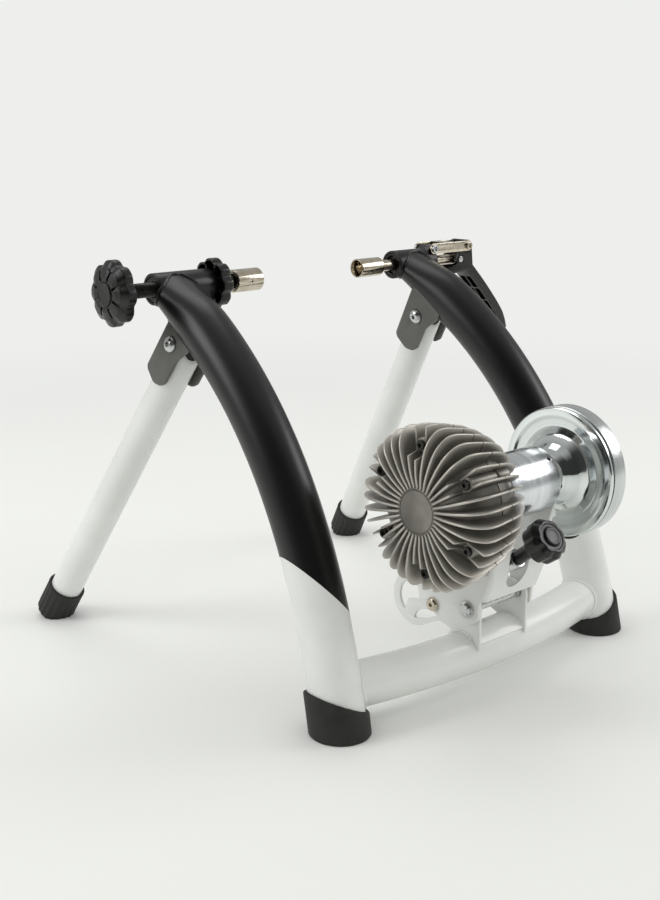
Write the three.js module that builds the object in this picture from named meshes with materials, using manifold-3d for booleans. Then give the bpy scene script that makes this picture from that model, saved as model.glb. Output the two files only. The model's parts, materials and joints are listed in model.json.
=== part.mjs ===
// Bicycle turbo trainer: a folding tube stand with two axle clamps and a fluid resistance unit.
// Millimetres. +X runs along the wheel axle to the lever clamp, +Y to the folding legs, +Z up.
import * as THREE from 'three';
import { mergeVertices } from 'three/addons/utils/BufferGeometryUtils.js';
import Module from 'manifold-3d';

const wasm = await Module();
wasm.setup();

// Clearances and overruns shared by the whole part
const seatGap = 0.3;
const runGap = 0.3;
const cutOverrun = 20;

// Frame tubes
const axleHeight = 380;
const archDiameter = 50.8;
const archWall = 2;
const archTopX = 170.5;
const archFootX = 191.5;
const archFootBack = 272;
const archUpperHandleBack = 109;
const archUpperHandleHeight = 326;
const archLowerHandleBack = 228;
const archLowerHandleHeight = 228;
const archCrimpLength = 75;
const archCrimpWidth = 54;
const crossTubeDiameter = 44;
const crossTubeWall = 2;
const crossTubeHeight = 36.5;
const crossTubeEndBack = 257;
const crossTubeMiddleBack = 282;

// Rubber feet under the arches
const archFootWall = 3.6;
const archFootFloor = 5;
const archFootOuterHeight = 42;
const archFootInnerHeight = 17;

// Screw clamp on the left of the wheel
const housingDiameter = 32;
const housingWall = 2.8;
const screwHousingOuterX = -193.4;
const screwHousingInnerX = -124.5;
const linerRecess = 1;
const screwDiameter = 15;
const screwCupMouthX = -59;
const screwCupLength = 34;
const screwCupDiameter = 24;
const screwCupBore = 19;
const screwCupDepth = 20;
const screwCupSocketDepth = 9;
const screwCupHole = 3.2;
const lockWasherThickness = 1.6;
const lockWasherDiameter = 25;
const lockKnobDiameter = 52;
const lockKnobThickness = 13;
const lockKnobWall = 2.4;
const lockKnobHubDiameter = 24;
const lockKnobWeb = 3;
const screwKnobFaceX = -249.5;
const screwKnobThickness = 18;
const screwKnobDiameter = 65;
const screwKnobHubDiameter = 26;
const screwKnobHubLength = 5;
const screwKnobSlotWidth = 2.6;
const screwKnobSlotDepth = 3;
const knobCapDiameter = 23.6;
const knobCapThickness = 3;
const knobCapProud = 1.2;

// Lever clamp on the right of the wheel
const leverHousingInnerX = 142.3;
const leverHousingOuterX = 204;
const plungerDiameter = 12.8;
const plungerPinX = 248;
const plungerTravel = 26.5;
const plungerTongue = 10;
const leverCupMouthX = 86;
const leverCupLength = 36;
const leverCupDiameter = 21;
const leverCupBore = 15;
const leverCupMouthBore = 18.4;
const leverCupDepth = 20;
const leverCupSocketDepth = 9;
const leverCupNotch = 3;
const leverPinDiameter = 6;
const linkPinDiameter = 5;
const linkLength = 60;
const linkHeight = 12;
const linkThickness = 2;
const linkRise = 15.5;
const linkEndSetback = 4;
const earLength = 15;
const leverWidth = 22;
const leverWall = 2.2;
const leverLugRadius = 8;
const leverHandleReach = 86;
const leverHandleDrop = 92;
const leverHandleDepth = 11.5;
const leverCells = 5;
const pinHeadRadius = 4.6;
const pinHeadThickness = 2.2;

// Folding legs
const legPivotShare = 0.1115;
const legPivotHang = 33.1;
const legFootX = 226.3;
const legFootAhead = 168.5;
const legDiameter = 34.6;
const legWall = 1.8;
const legTopReach = 8.6;
const legInsertLength = 34;
const legFoldDegrees = 56;
const legFoldFacets = 5;
const legBoltDiameter = 8;
const legBoltHeadRadius = 8.4;
const legBoltHeadThickness = 4.6;
const legNutRadius = 7.5;
const legNutThickness = 6.5;
const legBoltOverhang = 2;
const legPlateThickness = 3;
const legPlateGap = 0.9;
const legPlateBack = 17;
const legPlateDrop = 47;
const legPlateRise = 46;
const legStopGap = 0.5;
const legFootDiameter = 41.5;
const legFootLength = 44;
const legFootFloor = 15;
const legFootRibs = 18;
const legFootRibDepth = 1.1;
const legFootRounding = 7;
const legFootWear = 1.2;

// Bracket on the cross tube, yoke and pivot of the resistance unit
const unitMiddleX = -1.5;
const yokeInnerHalf = 37.5;
const yokePlate = 3;
const bracketPlate = 3;
const bushFlange = 1;
const yokePivotBack = 291;
const yokePivotHeight = 86.5;
const yokePivotBolt = 10;
const yokePivotBossRadius = 15;
const bracketBossRadius = 12;
const yokeBearingBossRadius = 26;
const bracketAnchorBack = 242;
const bracketAnchorHeight = 77;
const bracketEndRadius = 43;
const bracketEndAhead = 222;
const bracketEndHeight = 84;
const trunnionShare = 0.377;
const trunnionSetback = 12.7;
const trunnionDiameter = 18;
const trunnionBolt = 6;
const trunnionBoltReach = 17;
const trunnionHeadRadius = 6;
const trunnionHeadThickness = 3;
const yokePivotHeadRadius = 8.5;
const anchorHeadRadius = 7;
const hexHeadThickness = 4;
const hexNutThickness = 7;
const pivotBoltOverhang = 2;
const bushWall = 2;
const yokeScrewRadius = 2.6;
const yokeScrewDepth = 8;
const tensionRodDiameter = 10;

// Tension screw
const eyeRadius = 11;
const eyeCollar = 14;
const eyeTubeRadius = 7;
const anchorBoltDiameter = 8;
const tensionWasherThickness = 1.6;
const tensionWasherRadius = 9.5;
const tensionNeckRadius = 7.2;
const tensionNeckLength = 27;
const tensionKnobDiameter = 42;
const tensionKnobThickness = 23;
const tensionRodRoom = 3.4;
const tensionCapRadius = 9.5;
const tensionCapThickness = 3;

// Fluid resistance unit about the roller axis
const rollerBack = 308;
const rollerHeight = 206.6;
const rollerDiameter = 64;
const rollerLeftX = -37.5;
const rollerRightX = 32;
const rollerRecess = 5;
const rollerRim = 7;
const rollerHole = 4.6;
const shaftDiameter = 15;
const shaftLeftX = -104;
const shaftRightX = 98;
const hubDiscX = -133.5;
const hubDiscRadius = 21.5;
const seamX = -88;
const seamGap = 1.2;
const housingBodyRadius = 61;
const housingCavityRadius = 50;
const housingRearX = -42.3;
const housingNeckRadius = 38;
const finCount = 36;
const finThickness = 2.3;
const finRadius = 77;
const bossCircleRadius = 59;
const bossCount = 6;
const bossPhaseDegrees = 26;
const bossRadius = 6.6;
const bossFaceX = -123;
const caseScrewHead = 4.6;
const caseScrewShank = 2;
const caseScrewDepth = 8;
const bearingRadius = 17;
const bearingWidth = 9;
const sealWidth = 5;
const sealRadius = 13;
const impellerRadius = 44;
const impellerBlades = 8;
const bladeThickness = 4;
const flywheelRadius = 65;
const flywheelFrontX = 65.8;
const flywheelDishLip = 4.4;
const flywheelGroove = 1.6;
const flywheelRearX = 89.4;
const flywheelHubX = 46;
const flywheelNutRadius = 11;
const flywheelNutThickness = 8;

// Facet counts
const tubeSides = 16;
const archSteps = 8;
const crossSteps = 4;
const roundSides = 16;
const smallSides = 8;
const wheelSides = 24;
const plateArcSteps = 6;

// Finishes
const satinBlack = new THREE.MeshStandardMaterial({ color: 0x17181a, roughness: 0.45, metalness: 0.1 });
const whitePaint = new THREE.MeshStandardMaterial({ color: 0xe4e4e0, roughness: 0.25, metalness: 0.0 });
const bracketBlack = new THREE.MeshStandardMaterial({ color: 0x3b3d3c, roughness: 0.5, metalness: 0.2 });
const footRubber = new THREE.MeshStandardMaterial({ color: 0x464845, roughness: 0.8, metalness: 0.0 });
const blackPlastic = new THREE.MeshStandardMaterial({ color: 0x1c1c1b, roughness: 0.5, metalness: 0.0 });
const nickel = new THREE.MeshStandardMaterial({ color: 0xc9bfae, roughness: 0.2, metalness: 1.0 });
const zincSteel = new THREE.MeshStandardMaterial({ color: 0xb9bcbd, roughness: 0.3, metalness: 1.0 });
const blackSteel = new THREE.MeshStandardMaterial({ color: 0x2b2b2a, roughness: 0.4, metalness: 0.8 });
const castAluminium = new THREE.MeshStandardMaterial({ color: 0x8a847d, roughness: 0.45, metalness: 0.8 });
const turnedAluminium = new THREE.MeshStandardMaterial({ color: 0xd2d4d4, roughness: 0.22, metalness: 1.0 });
const brightFlywheel = new THREE.MeshStandardMaterial({ color: 0xd6dad8, roughness: 0.15, metalness: 1.0 });
const nylon = new THREE.MeshStandardMaterial({ color: 0xd8d3c6, roughness: 0.6, metalness: 0.0 });

// Solids: plain position-only geometries that can be joined and cut
function bare(geometry) {
  const plain = geometry.index ? geometry.toNonIndexed() : geometry.clone();
  for (const name of Object.keys(plain.attributes)) {
    if (name !== 'position') plain.deleteAttribute(name);
  }
  return plain;
}

function toManifold(geometry) {
  const merged = mergeVertices(bare(geometry), 1e-4);
  const mesh = new wasm.Mesh({
    numProp: 3,
    vertProperties: new Float32Array(merged.attributes.position.array),
    triVerts: new Uint32Array(merged.index.array),
  });
  return new wasm.Manifold(mesh);
}

function fromManifold(solid) {
  const mesh = solid.getMesh();
  const geometry = new THREE.BufferGeometry();
  geometry.setAttribute('position', new THREE.BufferAttribute(new Float32Array(mesh.vertProperties), 3));
  geometry.setIndex(new THREE.BufferAttribute(new Uint32Array(mesh.triVerts), 1));
  return bare(geometry);
}

function fuse(first, ...others) {
  const joined = others.reduce((sum, next) => sum.add(toManifold(next)), toManifold(first));
  return fromManifold(joined);
}

function cut(body, ...tools) {
  const rest = tools.reduce((left, tool) => left.subtract(toManifold(tool)), toManifold(body));
  return fromManifold(rest);
}

// A box between two corners
function block(low, high) {
  const size = new THREE.Vector3().subVectors(high, low);
  const middle = new THREE.Vector3().addVectors(high, low).multiplyScalar(0.5);
  return bare(new THREE.BoxGeometry(size.x, size.y, size.z).translate(middle.x, middle.y, middle.z));
}

// A round bar along X, centred on y and z
function bar(radius, fromX, toX, sides = roundSides, y = 0, z = 0) {
  const length = toX - fromX;
  const geometry = new THREE.CylinderGeometry(radius, radius, length, sides);
  return bare(geometry.rotateZ(-Math.PI / 2).translate(fromX + length / 2, y, z));
}

// A turned piece about X from pairs of x and radius; a profile off the axis closes on itself
function turned(profile, sides = roundSides) {
  const points = profile.map(([x, radius]) => new THREE.Vector2(radius, x));
  const closes = points[0].x > 0 || points[points.length - 1].x > 0;
  if (closes) points.push(points[0].clone());
  return outward(bare(new THREE.LatheGeometry(points, sides).rotateZ(-Math.PI / 2)));
}

// A flat plate in the YZ plane between two x values
function plate(shape, fromX, toX, curveSegments = plateArcSteps) {
  const geometry = new THREE.ExtrudeGeometry(shape, { depth: toX - fromX, bevelEnabled: false, curveSegments });
  const turn = new THREE.Matrix4().makeBasis(
    new THREE.Vector3(0, 1, 0), new THREE.Vector3(0, 0, 1), new THREE.Vector3(1, 0, 0));
  return bare(geometry.applyMatrix4(turn).translate(fromX, 0, 0));
}

// A flat plate in the XZ plane between two y values
function sidePlate(shape, fromY, toY, curveSegments = plateArcSteps) {
  const geometry = new THREE.ExtrudeGeometry(shape, { depth: toY - fromY, bevelEnabled: false, curveSegments });
  return bare(geometry.rotateX(Math.PI / 2).translate(0, toY, 0));
}

function signedVolume(geometry) {
  const p = geometry.attributes.position;
  const [a, b, c] = [new THREE.Vector3(), new THREE.Vector3(), new THREE.Vector3()];
  let sum = 0;
  for (let i = 0; i < p.count; i += 3) {
    a.fromBufferAttribute(p, i);
    b.fromBufferAttribute(p, i + 1);
    c.fromBufferAttribute(p, i + 2);
    sum += a.dot(b.cross(c)) / 6;
  }
  return sum;
}

// Turns every face over when the solid is inside out
function outward(geometry) {
  if (signedVolume(geometry) > 0) return geometry;
  const p = geometry.attributes.position;
  const held = new THREE.Vector3();
  const swap = new THREE.Vector3();
  for (let i = 0; i < p.count; i += 3) {
    held.fromBufferAttribute(p, i + 1);
    swap.fromBufferAttribute(p, i + 2);
    p.setXYZ(i + 1, swap.x, swap.y, swap.z);
    p.setXYZ(i + 2, held.x, held.y, held.z);
  }
  return geometry;
}

// A solid skinned over rings of points; inner rings make it a tube with open ends
function skin(outer, inner = null) {
  const corners = [];
  const face = (a, b, c) => corners.push(a.x, a.y, a.z, b.x, b.y, b.z, c.x, c.y, c.z);
  const quad = (a, b, c, d) => {
    face(a, b, c);
    face(a, c, d);
  };
  const sides = outer[0].length;
  const wall = (rings, flipped) => {
    for (let k = 0; k + 1 < rings.length; k += 1) {
      for (let i = 0; i < sides; i += 1) {
        const j = (i + 1) % sides;
        if (flipped) quad(rings[k][j], rings[k][i], rings[k + 1][i], rings[k + 1][j]);
        else quad(rings[k][i], rings[k][j], rings[k + 1][j], rings[k + 1][i]);
      }
    }
  };
  wall(outer, false);
  if (inner) {
    wall(inner, true);
    const last = outer.length - 1;
    for (let i = 0; i < sides; i += 1) {
      const j = (i + 1) % sides;
      quad(outer[0][j], outer[0][i], inner[0][i], inner[0][j]);
      quad(outer[last][i], outer[last][j], inner[last][j], inner[last][i]);
    }
  } else {
    for (const [ring, flipped] of [[outer[0], false], [outer[outer.length - 1], true]]) {
      const middle = ring.reduce((sum, p) => sum.add(p), new THREE.Vector3()).divideScalar(sides);
      for (let i = 0; i < sides; i += 1) {
        const j = (i + 1) % sides;
        if (flipped) face(ring[i], ring[j], middle);
        else face(ring[j], ring[i], middle);
      }
    }
  }
  const geometry = new THREE.BufferGeometry();
  geometry.setAttribute('position', new THREE.BufferAttribute(new Float32Array(corners), 3));
  return outward(geometry);
}

const model = new THREE.Group();

function piece(parent, name, geometry, finish) {
  const shown = bare(geometry);
  shown.computeVertexNormals();
  const mesh = new THREE.Mesh(shown, finish);
  mesh.name = name;
  parent.add(mesh);
  return mesh;
}

function group(parent, x = 0, y = 0, z = 0) {
  const made = new THREE.Group();
  made.position.set(x, y, z);
  parent.add(made);
  return made;
}

// Everything below the given height
function ground(height) {
  const reach = archFootX + archFootBack + legFootX;
  return block(new THREE.Vector3(-reach, -reach, height - reach), new THREE.Vector3(reach, reach, height));
}

// Arch tubes
const archRadius = archDiameter / 2;
const housingRadius = housingDiameter / 2;

function archPath(side) {
  const handleShares = [1 / 3, 2 / 3];
  const spread = (archFootX - archTopX) * side;
  return new THREE.CubicBezierCurve3(
    new THREE.Vector3(archTopX * side, 0, axleHeight),
    new THREE.Vector3(archTopX * side + spread * handleShares[0], -archUpperHandleBack, archUpperHandleHeight),
    new THREE.Vector3(archTopX * side + spread * handleShares[1], -archLowerHandleBack, archLowerHandleHeight),
    new THREE.Vector3(archFootX * side, -archFootBack, 0),
  );
}

// Centre and directions of the arch tube at a share of its length
function archSection(path, along) {
  const centre = path.getPointAt(along);
  const tangent = path.getTangentAt(along);
  const sideways = new THREE.Vector3(1, 0, 0).addScaledVector(tangent, -tangent.x).normalize();
  const across = new THREE.Vector3().crossVectors(tangent, sideways);
  const upward = across.z > 0 ? across : across.clone().negate();
  return { centre, tangent, sideways, across, upward };
}

// One ring of the arch tube: crimped flat where it meets the clamp housing, round below
function archRing(path, along, growth, ahead = 0) {
  const { centre, tangent, sideways, across } = archSection(path, along);
  centre.addScaledVector(tangent, ahead);
  const blend = THREE.MathUtils.smoothstep(along * path.getLength(), 0, archCrimpLength);
  const half = THREE.MathUtils.lerp(housingRadius, archRadius, blend) + growth;
  const wide = THREE.MathUtils.lerp(archCrimpWidth / 2, archRadius, blend) + growth;
  return ringPoints(centre, sideways, wide, across, half, tubeSides);
}

function ringPoints(centre, sideways, wide, across, half, sides) {
  const ring = [];
  for (let i = 0; i < sides; i += 1) {
    const angle = (2 * Math.PI * i) / sides;
    ring.push(centre.clone()
      .addScaledVector(sideways, wide * Math.cos(angle))
      .addScaledVector(across, half * Math.sin(angle)));
  }
  return ring;
}

function archStretch(side, from, growth, steps) {
  const path = archPath(side);
  const rings = [];
  for (let k = 0; k <= steps; k += 1) {
    rings.push(archRing(path, from + ((1 - from) * k) / steps, growth));
  }
  rings.push(archRing(path, 1, growth, cutOverrun));
  return rings;
}

function archTube(side) {
  const tube = skin(archStretch(side, 0, 0, archSteps), archStretch(side, 0, -archWall, archSteps));
  const cope = bar(housingRadius + seatGap, -archTopX - cutOverrun * 3, archTopX + cutOverrun * 3, roundSides, 0, axleHeight);
  return cut(tube, cope, ground(archFootFloor + seatGap));
}

function archFoot(side) {
  const outer = skin(archStretch(side, 0, archFootWall, archSteps));
  const pocket = cut(skin(archStretch(side, 0, seatGap, archSteps)), ground(archFootFloor));
  return cut(outer, pocket, archFootAbove(side), ground(0));
}

// Everything above the slanted rim of a rubber foot
function archFootAbove(side) {
  const reach = archFootX + archFootBack + axleHeight;
  const width = archDiameter + archFootWall * 2;
  const slope = Math.atan2(archFootOuterHeight - archFootInnerHeight, width);
  const middle = (archFootOuterHeight + archFootInnerHeight) / 2;
  const above = block(new THREE.Vector3(-reach, -reach, 0), new THREE.Vector3(reach, reach, reach * 2));
  return above.rotateY(-slope * side).translate(archFootX * side, -archFootBack, middle);
}

// Cross tube, bowed to the back between the arches
function crossTubeRings(growth) {
  const controlBack = 2 * crossTubeMiddleBack - crossTubeEndBack;
  const path = new THREE.QuadraticBezierCurve3(
    new THREE.Vector3(-archFootX, -crossTubeEndBack, crossTubeHeight),
    new THREE.Vector3(0, -controlBack, crossTubeHeight),
    new THREE.Vector3(archFootX, -crossTubeEndBack, crossTubeHeight),
  );
  const radius = crossTubeDiameter / 2 + growth;
  const up = new THREE.Vector3(0, 0, 1);
  const rings = [];
  for (let k = 0; k <= crossSteps; k += 1) {
    const tangent = path.getTangentAt(k / crossSteps);
    const across = new THREE.Vector3().crossVectors(up, tangent);
    rings.push(ringPoints(path.getPointAt(k / crossSteps), across, radius, up, radius, tubeSides));
  }
  return rings;
}

function crossTube() {
  const tube = skin(crossTubeRings(0), crossTubeRings(-crossTubeWall));
  const arches = [-1, 1].map((side) => skin(archStretch(side, 0, seatGap, archSteps)));
  const feet = [-1, 1].map((side) =>
    cut(skin(archStretch(side, 0, archFootWall + seatGap, archSteps)), archFootAbove(side)));
  return cut(tube, ...arches, ...feet);
}

// Knobs: rings of lobes along X, from pairs of x and radius share
function lobedRing(x, radius, lobes, depthShare, pointsPerLobe) {
  const ring = [];
  const count = lobes * pointsPerLobe;
  for (let i = 0; i < count; i += 1) {
    const angle = (2 * Math.PI * i) / count;
    const dip = Math.pow((1 - Math.cos(lobes * angle)) / 2, 2);
    const r = radius * (1 - depthShare * dip);
    ring.push(new THREE.Vector3(x, r * Math.cos(angle), r * Math.sin(angle)));
  }
  return ring;
}

function lobedKnob(radius, lobes, depthShare, stations, pointsPerLobe = 4) {
  return skin(stations.map(([x, share]) => lobedRing(x, radius * share, lobes, depthShare, pointsPerLobe)));
}

function frameTubes() {
  const frame = group(model);
  piece(frame, 'arch_tube_left', archTube(-1), satinBlack);
  piece(frame, 'arch_tube_right', archTube(1), satinBlack);
  piece(frame, 'cross_tube', crossTube(), whitePaint);
  piece(frame, 'arch_foot_left', archFoot(-1), footRubber);
  piece(frame, 'arch_foot_right', archFoot(1), footRubber);
}

// A tube with lightly broken edges, along X
function sleeve(outerRadius, innerRadius, fromX, toX, edge) {
  return turned([
    [fromX, innerRadius], [fromX, outerRadius - edge], [fromX + edge, outerRadius],
    [toX - edge, outerRadius], [toX, outerRadius - edge], [toX, innerRadius],
  ]);
}

// A plain ring along X, without broken edges
function ring(outerRadius, innerRadius, fromX, toX, sides = roundSides) {
  return turned([[fromX, innerRadius], [fromX, outerRadius], [toX, outerRadius], [toX, innerRadius]], sides);
}

function screwClamp() {
  const clamp = group(model, 0, 0, axleHeight);
  const bore = housingRadius - housingWall;
  const edge = 0.8;
  piece(clamp, 'screw_housing',
    sleeve(housingRadius, bore, screwHousingOuterX, screwHousingInnerX, edge), satinBlack);
  piece(clamp, 'screw_liner', ring(bore - seatGap, screwDiameter / 2 + runGap,
    screwHousingOuterX + linerRecess, screwHousingInnerX - linerRecess), zincSteel);

  const cupRear = screwCupMouthX - screwCupLength;
  const cupRadius = screwCupDiameter / 2;
  const socketRadius = screwDiameter / 2 + seatGap;
  const cupBottom = screwCupMouthX - screwCupDepth;
  const cup = turned([
    [cupRear + screwCupSocketDepth, 0], [cupRear + screwCupSocketDepth, socketRadius], [cupRear, socketRadius],
    [cupRear, cupRadius - edge], [cupRear + edge, cupRadius], [screwCupMouthX - edge, cupRadius],
    [screwCupMouthX, cupRadius - edge], [screwCupMouthX, screwCupBore / 2 + edge],
    [screwCupMouthX - edge * 2, screwCupBore / 2], [cupBottom, screwCupBore / 2], [cupBottom, 0],
  ]);
  const drill = bare(new THREE.CylinderGeometry(screwCupHole / 2, screwCupHole / 2, cupRadius + cutOverrun, smallSides)
    .translate(cupBottom + screwCupHole, -(cupRadius + cutOverrun) / 2, 0));
  piece(clamp, 'screw_cup', cut(cup, drill), nickel);

  const knobBackX = screwKnobFaceX + screwKnobThickness;
  const rodFrom = knobBackX - screwKnobThickness / 2;
  const rodTo = cupRear + screwCupSocketDepth - seatGap;
  const rodEdge = 1;
  const rodRadius = screwDiameter / 2;
  piece(clamp, 'clamp_screw', turned([
    [rodFrom, 0], [rodFrom, rodRadius - rodEdge], [rodFrom + rodEdge, rodRadius],
    [rodTo - rodEdge, rodRadius], [rodTo, rodRadius - rodEdge], [rodTo, 0],
  ]), blackSteel);
  piece(clamp, 'screw_knob', screwKnob(knobBackX, rodFrom), blackPlastic);
  piece(clamp, 'screw_knob_cap', turned([
    [screwKnobFaceX - knobCapProud, 0], [screwKnobFaceX - knobCapProud, knobCapDiameter / 2 - edge],
    [screwKnobFaceX - knobCapProud + edge, knobCapDiameter / 2],
    [screwKnobFaceX + knobCapThickness - knobCapProud, knobCapDiameter / 2],
    [screwKnobFaceX + knobCapThickness - knobCapProud, 0],
  ]), blackPlastic);

  const washerFrom = screwHousingInnerX + seatGap;
  piece(clamp, 'lock_washer', ring(lockWasherDiameter / 2, rodRadius + runGap,
    washerFrom, washerFrom + lockWasherThickness), zincSteel);
  piece(clamp, 'lock_knob', lockKnob(washerFrom + lockWasherThickness + seatGap), blackPlastic);
}

function screwKnob(backX, rodEndX) {
  const radius = screwKnobDiameter / 2;
  const lobes = 8;
  const lobeShare = 0.1;
  const stations = [
    [backX, 0.9], [backX - screwKnobThickness * 0.12, 1], [backX - screwKnobThickness * 0.62, 1],
    [backX - screwKnobThickness * 0.9, 0.78], [screwKnobFaceX, 0.55],
  ];
  const body = lobedKnob(radius, lobes, lobeShare, stations);
  const hub = bar(screwKnobHubDiameter / 2, backX - 1, backX + screwKnobHubLength, roundSides);
  const bore = bar(screwDiameter / 2 + seatGap, rodEndX - seatGap, backX + cutOverrun, roundSides);
  const pocketDepth = knobCapThickness - knobCapProud + seatGap;
  const pocket = bar(knobCapDiameter / 2 + seatGap, screwKnobFaceX - cutOverrun, screwKnobFaceX + pocketDepth, roundSides);
  const slots = [];
  for (let i = 0; i < lobes; i += 1) {
    const slot = block(
      new THREE.Vector3(screwKnobFaceX - cutOverrun, knobCapDiameter / 2, -screwKnobSlotWidth / 2),
      new THREE.Vector3(screwKnobFaceX + screwKnobSlotDepth, radius * 0.72, screwKnobSlotWidth / 2));
    slots.push(slot.rotateX((2 * Math.PI * (i + 0.5)) / lobes));
  }
  return cut(fuse(body, hub), bore, pocket, ...slots);
}

// Scalloped lock knob: a rim and hub on a web, with thin ribs on its open side
function lockKnob(fromX) {
  const radius = lockKnobDiameter / 2;
  const lobes = 8;
  const lobeShare = 0.12;
  const toX = fromX + lockKnobThickness;
  const body = lobedKnob(radius, lobes, lobeShare, [
    [fromX, 1], [toX - lockKnobWeb, 1], [toX, 0.9],
  ]);
  const hollow = lobedKnob(radius - lockKnobWall, lobes, lobeShare, [
    [fromX - cutOverrun, 1], [toX - lockKnobWeb, 1],
  ]);
  const hubRadius = lockKnobHubDiameter / 2;
  const hub = bar(hubRadius, fromX, toX, roundSides);
  const ribs = [];
  for (let i = 0; i < lobes; i += 1) {
    const rib = block(
      new THREE.Vector3(fromX, hubRadius - lockKnobWall, -lockKnobWall / 3),
      new THREE.Vector3(toX - lockKnobWeb / 2, radius * (1 - lobeShare) - lockKnobWall / 2, lockKnobWall / 3));
    ribs.push(rib.rotateX((2 * Math.PI * (i + 0.5)) / lobes));
  }
  const shell = fuse(cut(body, hollow), hub, ...ribs);
  return cut(shell, bar(screwDiameter / 2 + runGap, fromX - cutOverrun, toX + cutOverrun, roundSides));
}

// Lever clamp: a sliding plunger moved by an over-centre lever and two link plates
const leverPinZ = 0;
const linkPinX = leverHousingOuterX - linkEndSetback;
const linkInnerHalf = leverWidth / 2 + runGap;

function leverClamp() {
  const clamp = group(model, 0, 0, axleHeight);
  const bore = housingRadius - housingWall;
  const edge = 0.8;
  const tube = sleeve(housingRadius, bore, leverHousingInnerX, leverHousingOuterX, edge);
  const earHalf = leverWidth / 2;
  const earShape = new THREE.Shape();
  earShape.moveTo(leverHousingOuterX - earLength - linkHeight / 3, housingRadius * 0.7);
  earShape.lineTo(leverHousingOuterX, housingRadius * 0.7);
  earShape.lineTo(linkPinX + linkHeight / 2, linkRise);
  earShape.absarc(linkPinX, linkRise, linkHeight / 2, 0, Math.PI * 0.5, false);
  earShape.lineTo(leverHousingOuterX - earLength, linkRise + linkHeight / 2);
  earShape.closePath();
  const ear = sidePlate(earShape, -earHalf, earHalf, 6);
  const innerRoom = bar(bore, leverHousingInnerX - cutOverrun, leverHousingOuterX + cutOverrun, roundSides);
  const pinHole = crossBar(linkPinDiameter / 2 + runGap, linkPinX, linkRise, leverWidth + cutOverrun);
  const flats = [-1, 1].map((side) => {
    const fromX = linkPinX - linkHeight / 2 - runGap * 2;
    const fromZ = linkRise - linkHeight / 2 - runGap * 2;
    const low = new THREE.Vector3(fromX, Math.min(side * earHalf, side * housingRadius), fromZ);
    const high = new THREE.Vector3(leverHousingOuterX + cutOverrun, Math.max(side * earHalf, side * housingRadius), linkRise);
    return block(low, high);
  });
  piece(clamp, 'lever_housing', cut(fuse(tube, ear), innerRoom, pinHole, ...flats), satinBlack);
  piece(clamp, 'plunger_liner', ring(bore - seatGap, plungerDiameter / 2 + runGap,
    leverCupMouthX + leverCupLength + plungerTravel + seatGap, leverHousingOuterX - linerRecess), blackPlastic);

  piece(clamp, 'lever_cup', leverCup(edge), nickel);
  piece(clamp, 'plunger_rod', plungerRod(), nickel);
  piece(clamp, 'lever_pin', leverPin(), zincSteel);
  piece(clamp, 'clamp_lever', clampLever(), blackPlastic);
  piece(clamp, 'clamp_link', clampLink(), nickel);
  piece(clamp, 'link_pin', linkPin(), zincSteel);
}

// A round bar along Y through a point of the XZ plane
function crossBar(radius, x, z, length, sides = smallSides, y = 0) {
  return bare(new THREE.CylinderGeometry(radius, radius, length, sides).translate(x, y, z));
}

function leverCup(edge) {
  const rear = leverCupMouthX + leverCupLength;
  const radius = leverCupDiameter / 2;
  const socket = plungerDiameter / 2 + seatGap;
  const bottom = leverCupMouthX + leverCupDepth;
  const cup = turned([
    [bottom, 0], [bottom, leverCupBore / 2], [leverCupMouthX + leverCupDepth / 3, leverCupBore / 2],
    [leverCupMouthX, leverCupMouthBore / 2], [leverCupMouthX, radius - edge / 2], [leverCupMouthX + edge / 2, radius],
    [rear - edge * 3, radius], [rear, radius - edge * 3], [rear, socket],
    [rear - leverCupSocketDepth, socket], [rear - leverCupSocketDepth, 0],
  ]);
  const notch = block(
    new THREE.Vector3(leverCupMouthX - cutOverrun, -radius - cutOverrun, -leverCupNotch / 2),
    new THREE.Vector3(leverCupMouthX + leverCupNotch, -leverCupBore / 2, leverCupNotch / 2));
  return cut(cup, notch);
}

function plungerRod() {
  const radius = plungerDiameter / 2;
  const from = leverCupMouthX + leverCupLength - leverCupSocketDepth + seatGap;
  const tip = plungerPinX + radius;
  const edge = 0.6;
  const rod = turned([
    [from, 0], [from, radius - edge], [from + edge, radius], [tip - radius / 2, radius], [tip, radius / 2], [tip, 0],
  ]);
  const flats = [-1, 1].map((side) => {
    const inner = plungerTongue / 2;
    const low = new THREE.Vector3(plungerPinX - radius * 1.4, Math.min(side * inner, side * cutOverrun), -cutOverrun);
    const high = new THREE.Vector3(tip + cutOverrun, Math.max(side * inner, side * cutOverrun), cutOverrun);
    return block(low, high);
  });
  const hole = crossBar(leverPinDiameter / 2 + seatGap, plungerPinX, leverPinZ, plungerDiameter + cutOverrun);
  return cut(rod, ...flats, hole);
}

function leverPin() {
  const half = leverWidth / 2 + runGap;
  const shank = crossBar(leverPinDiameter / 2, plungerPinX, leverPinZ, half * 2 + pinHeadThickness / 2);
  const heads = [-1, 1].map((side) =>
    crossBar(pinHeadRadius - 1, plungerPinX, leverPinZ, pinHeadThickness / 2, smallSides,
      side * (half + pinHeadThickness / 4)));
  return fuse(shank, ...heads);
}

// The lever's handle as a centre line in the XZ plane, from the pivot down to the tip
const handleShares = [[0.174, 0.098], [0.442, 0.337], [0.721, 0.609], [0.907, 0.815], [1, 1]];
const handleLine = new THREE.CatmullRomCurve3(handleShares.map(([reach, drop]) =>
  new THREE.Vector3(plungerPinX + leverHandleReach * reach, 0, -leverHandleDrop * drop)));

// A point beside the handle line; offset is positive on the outer side
function besideHandle(share, offset) {
  const centre = handleLine.getPoint(share);
  const tangent = handleLine.getTangent(share);
  return new THREE.Vector2(centre.x - tangent.z * offset, centre.z + tangent.x * offset);
}

function handleHalfDepth(share) {
  const tipShare = 0.62;
  const taper = 1 - (1 - tipShare) * Math.pow(share, 3);
  return (leverHandleDepth / 2) * taper;
}

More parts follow.
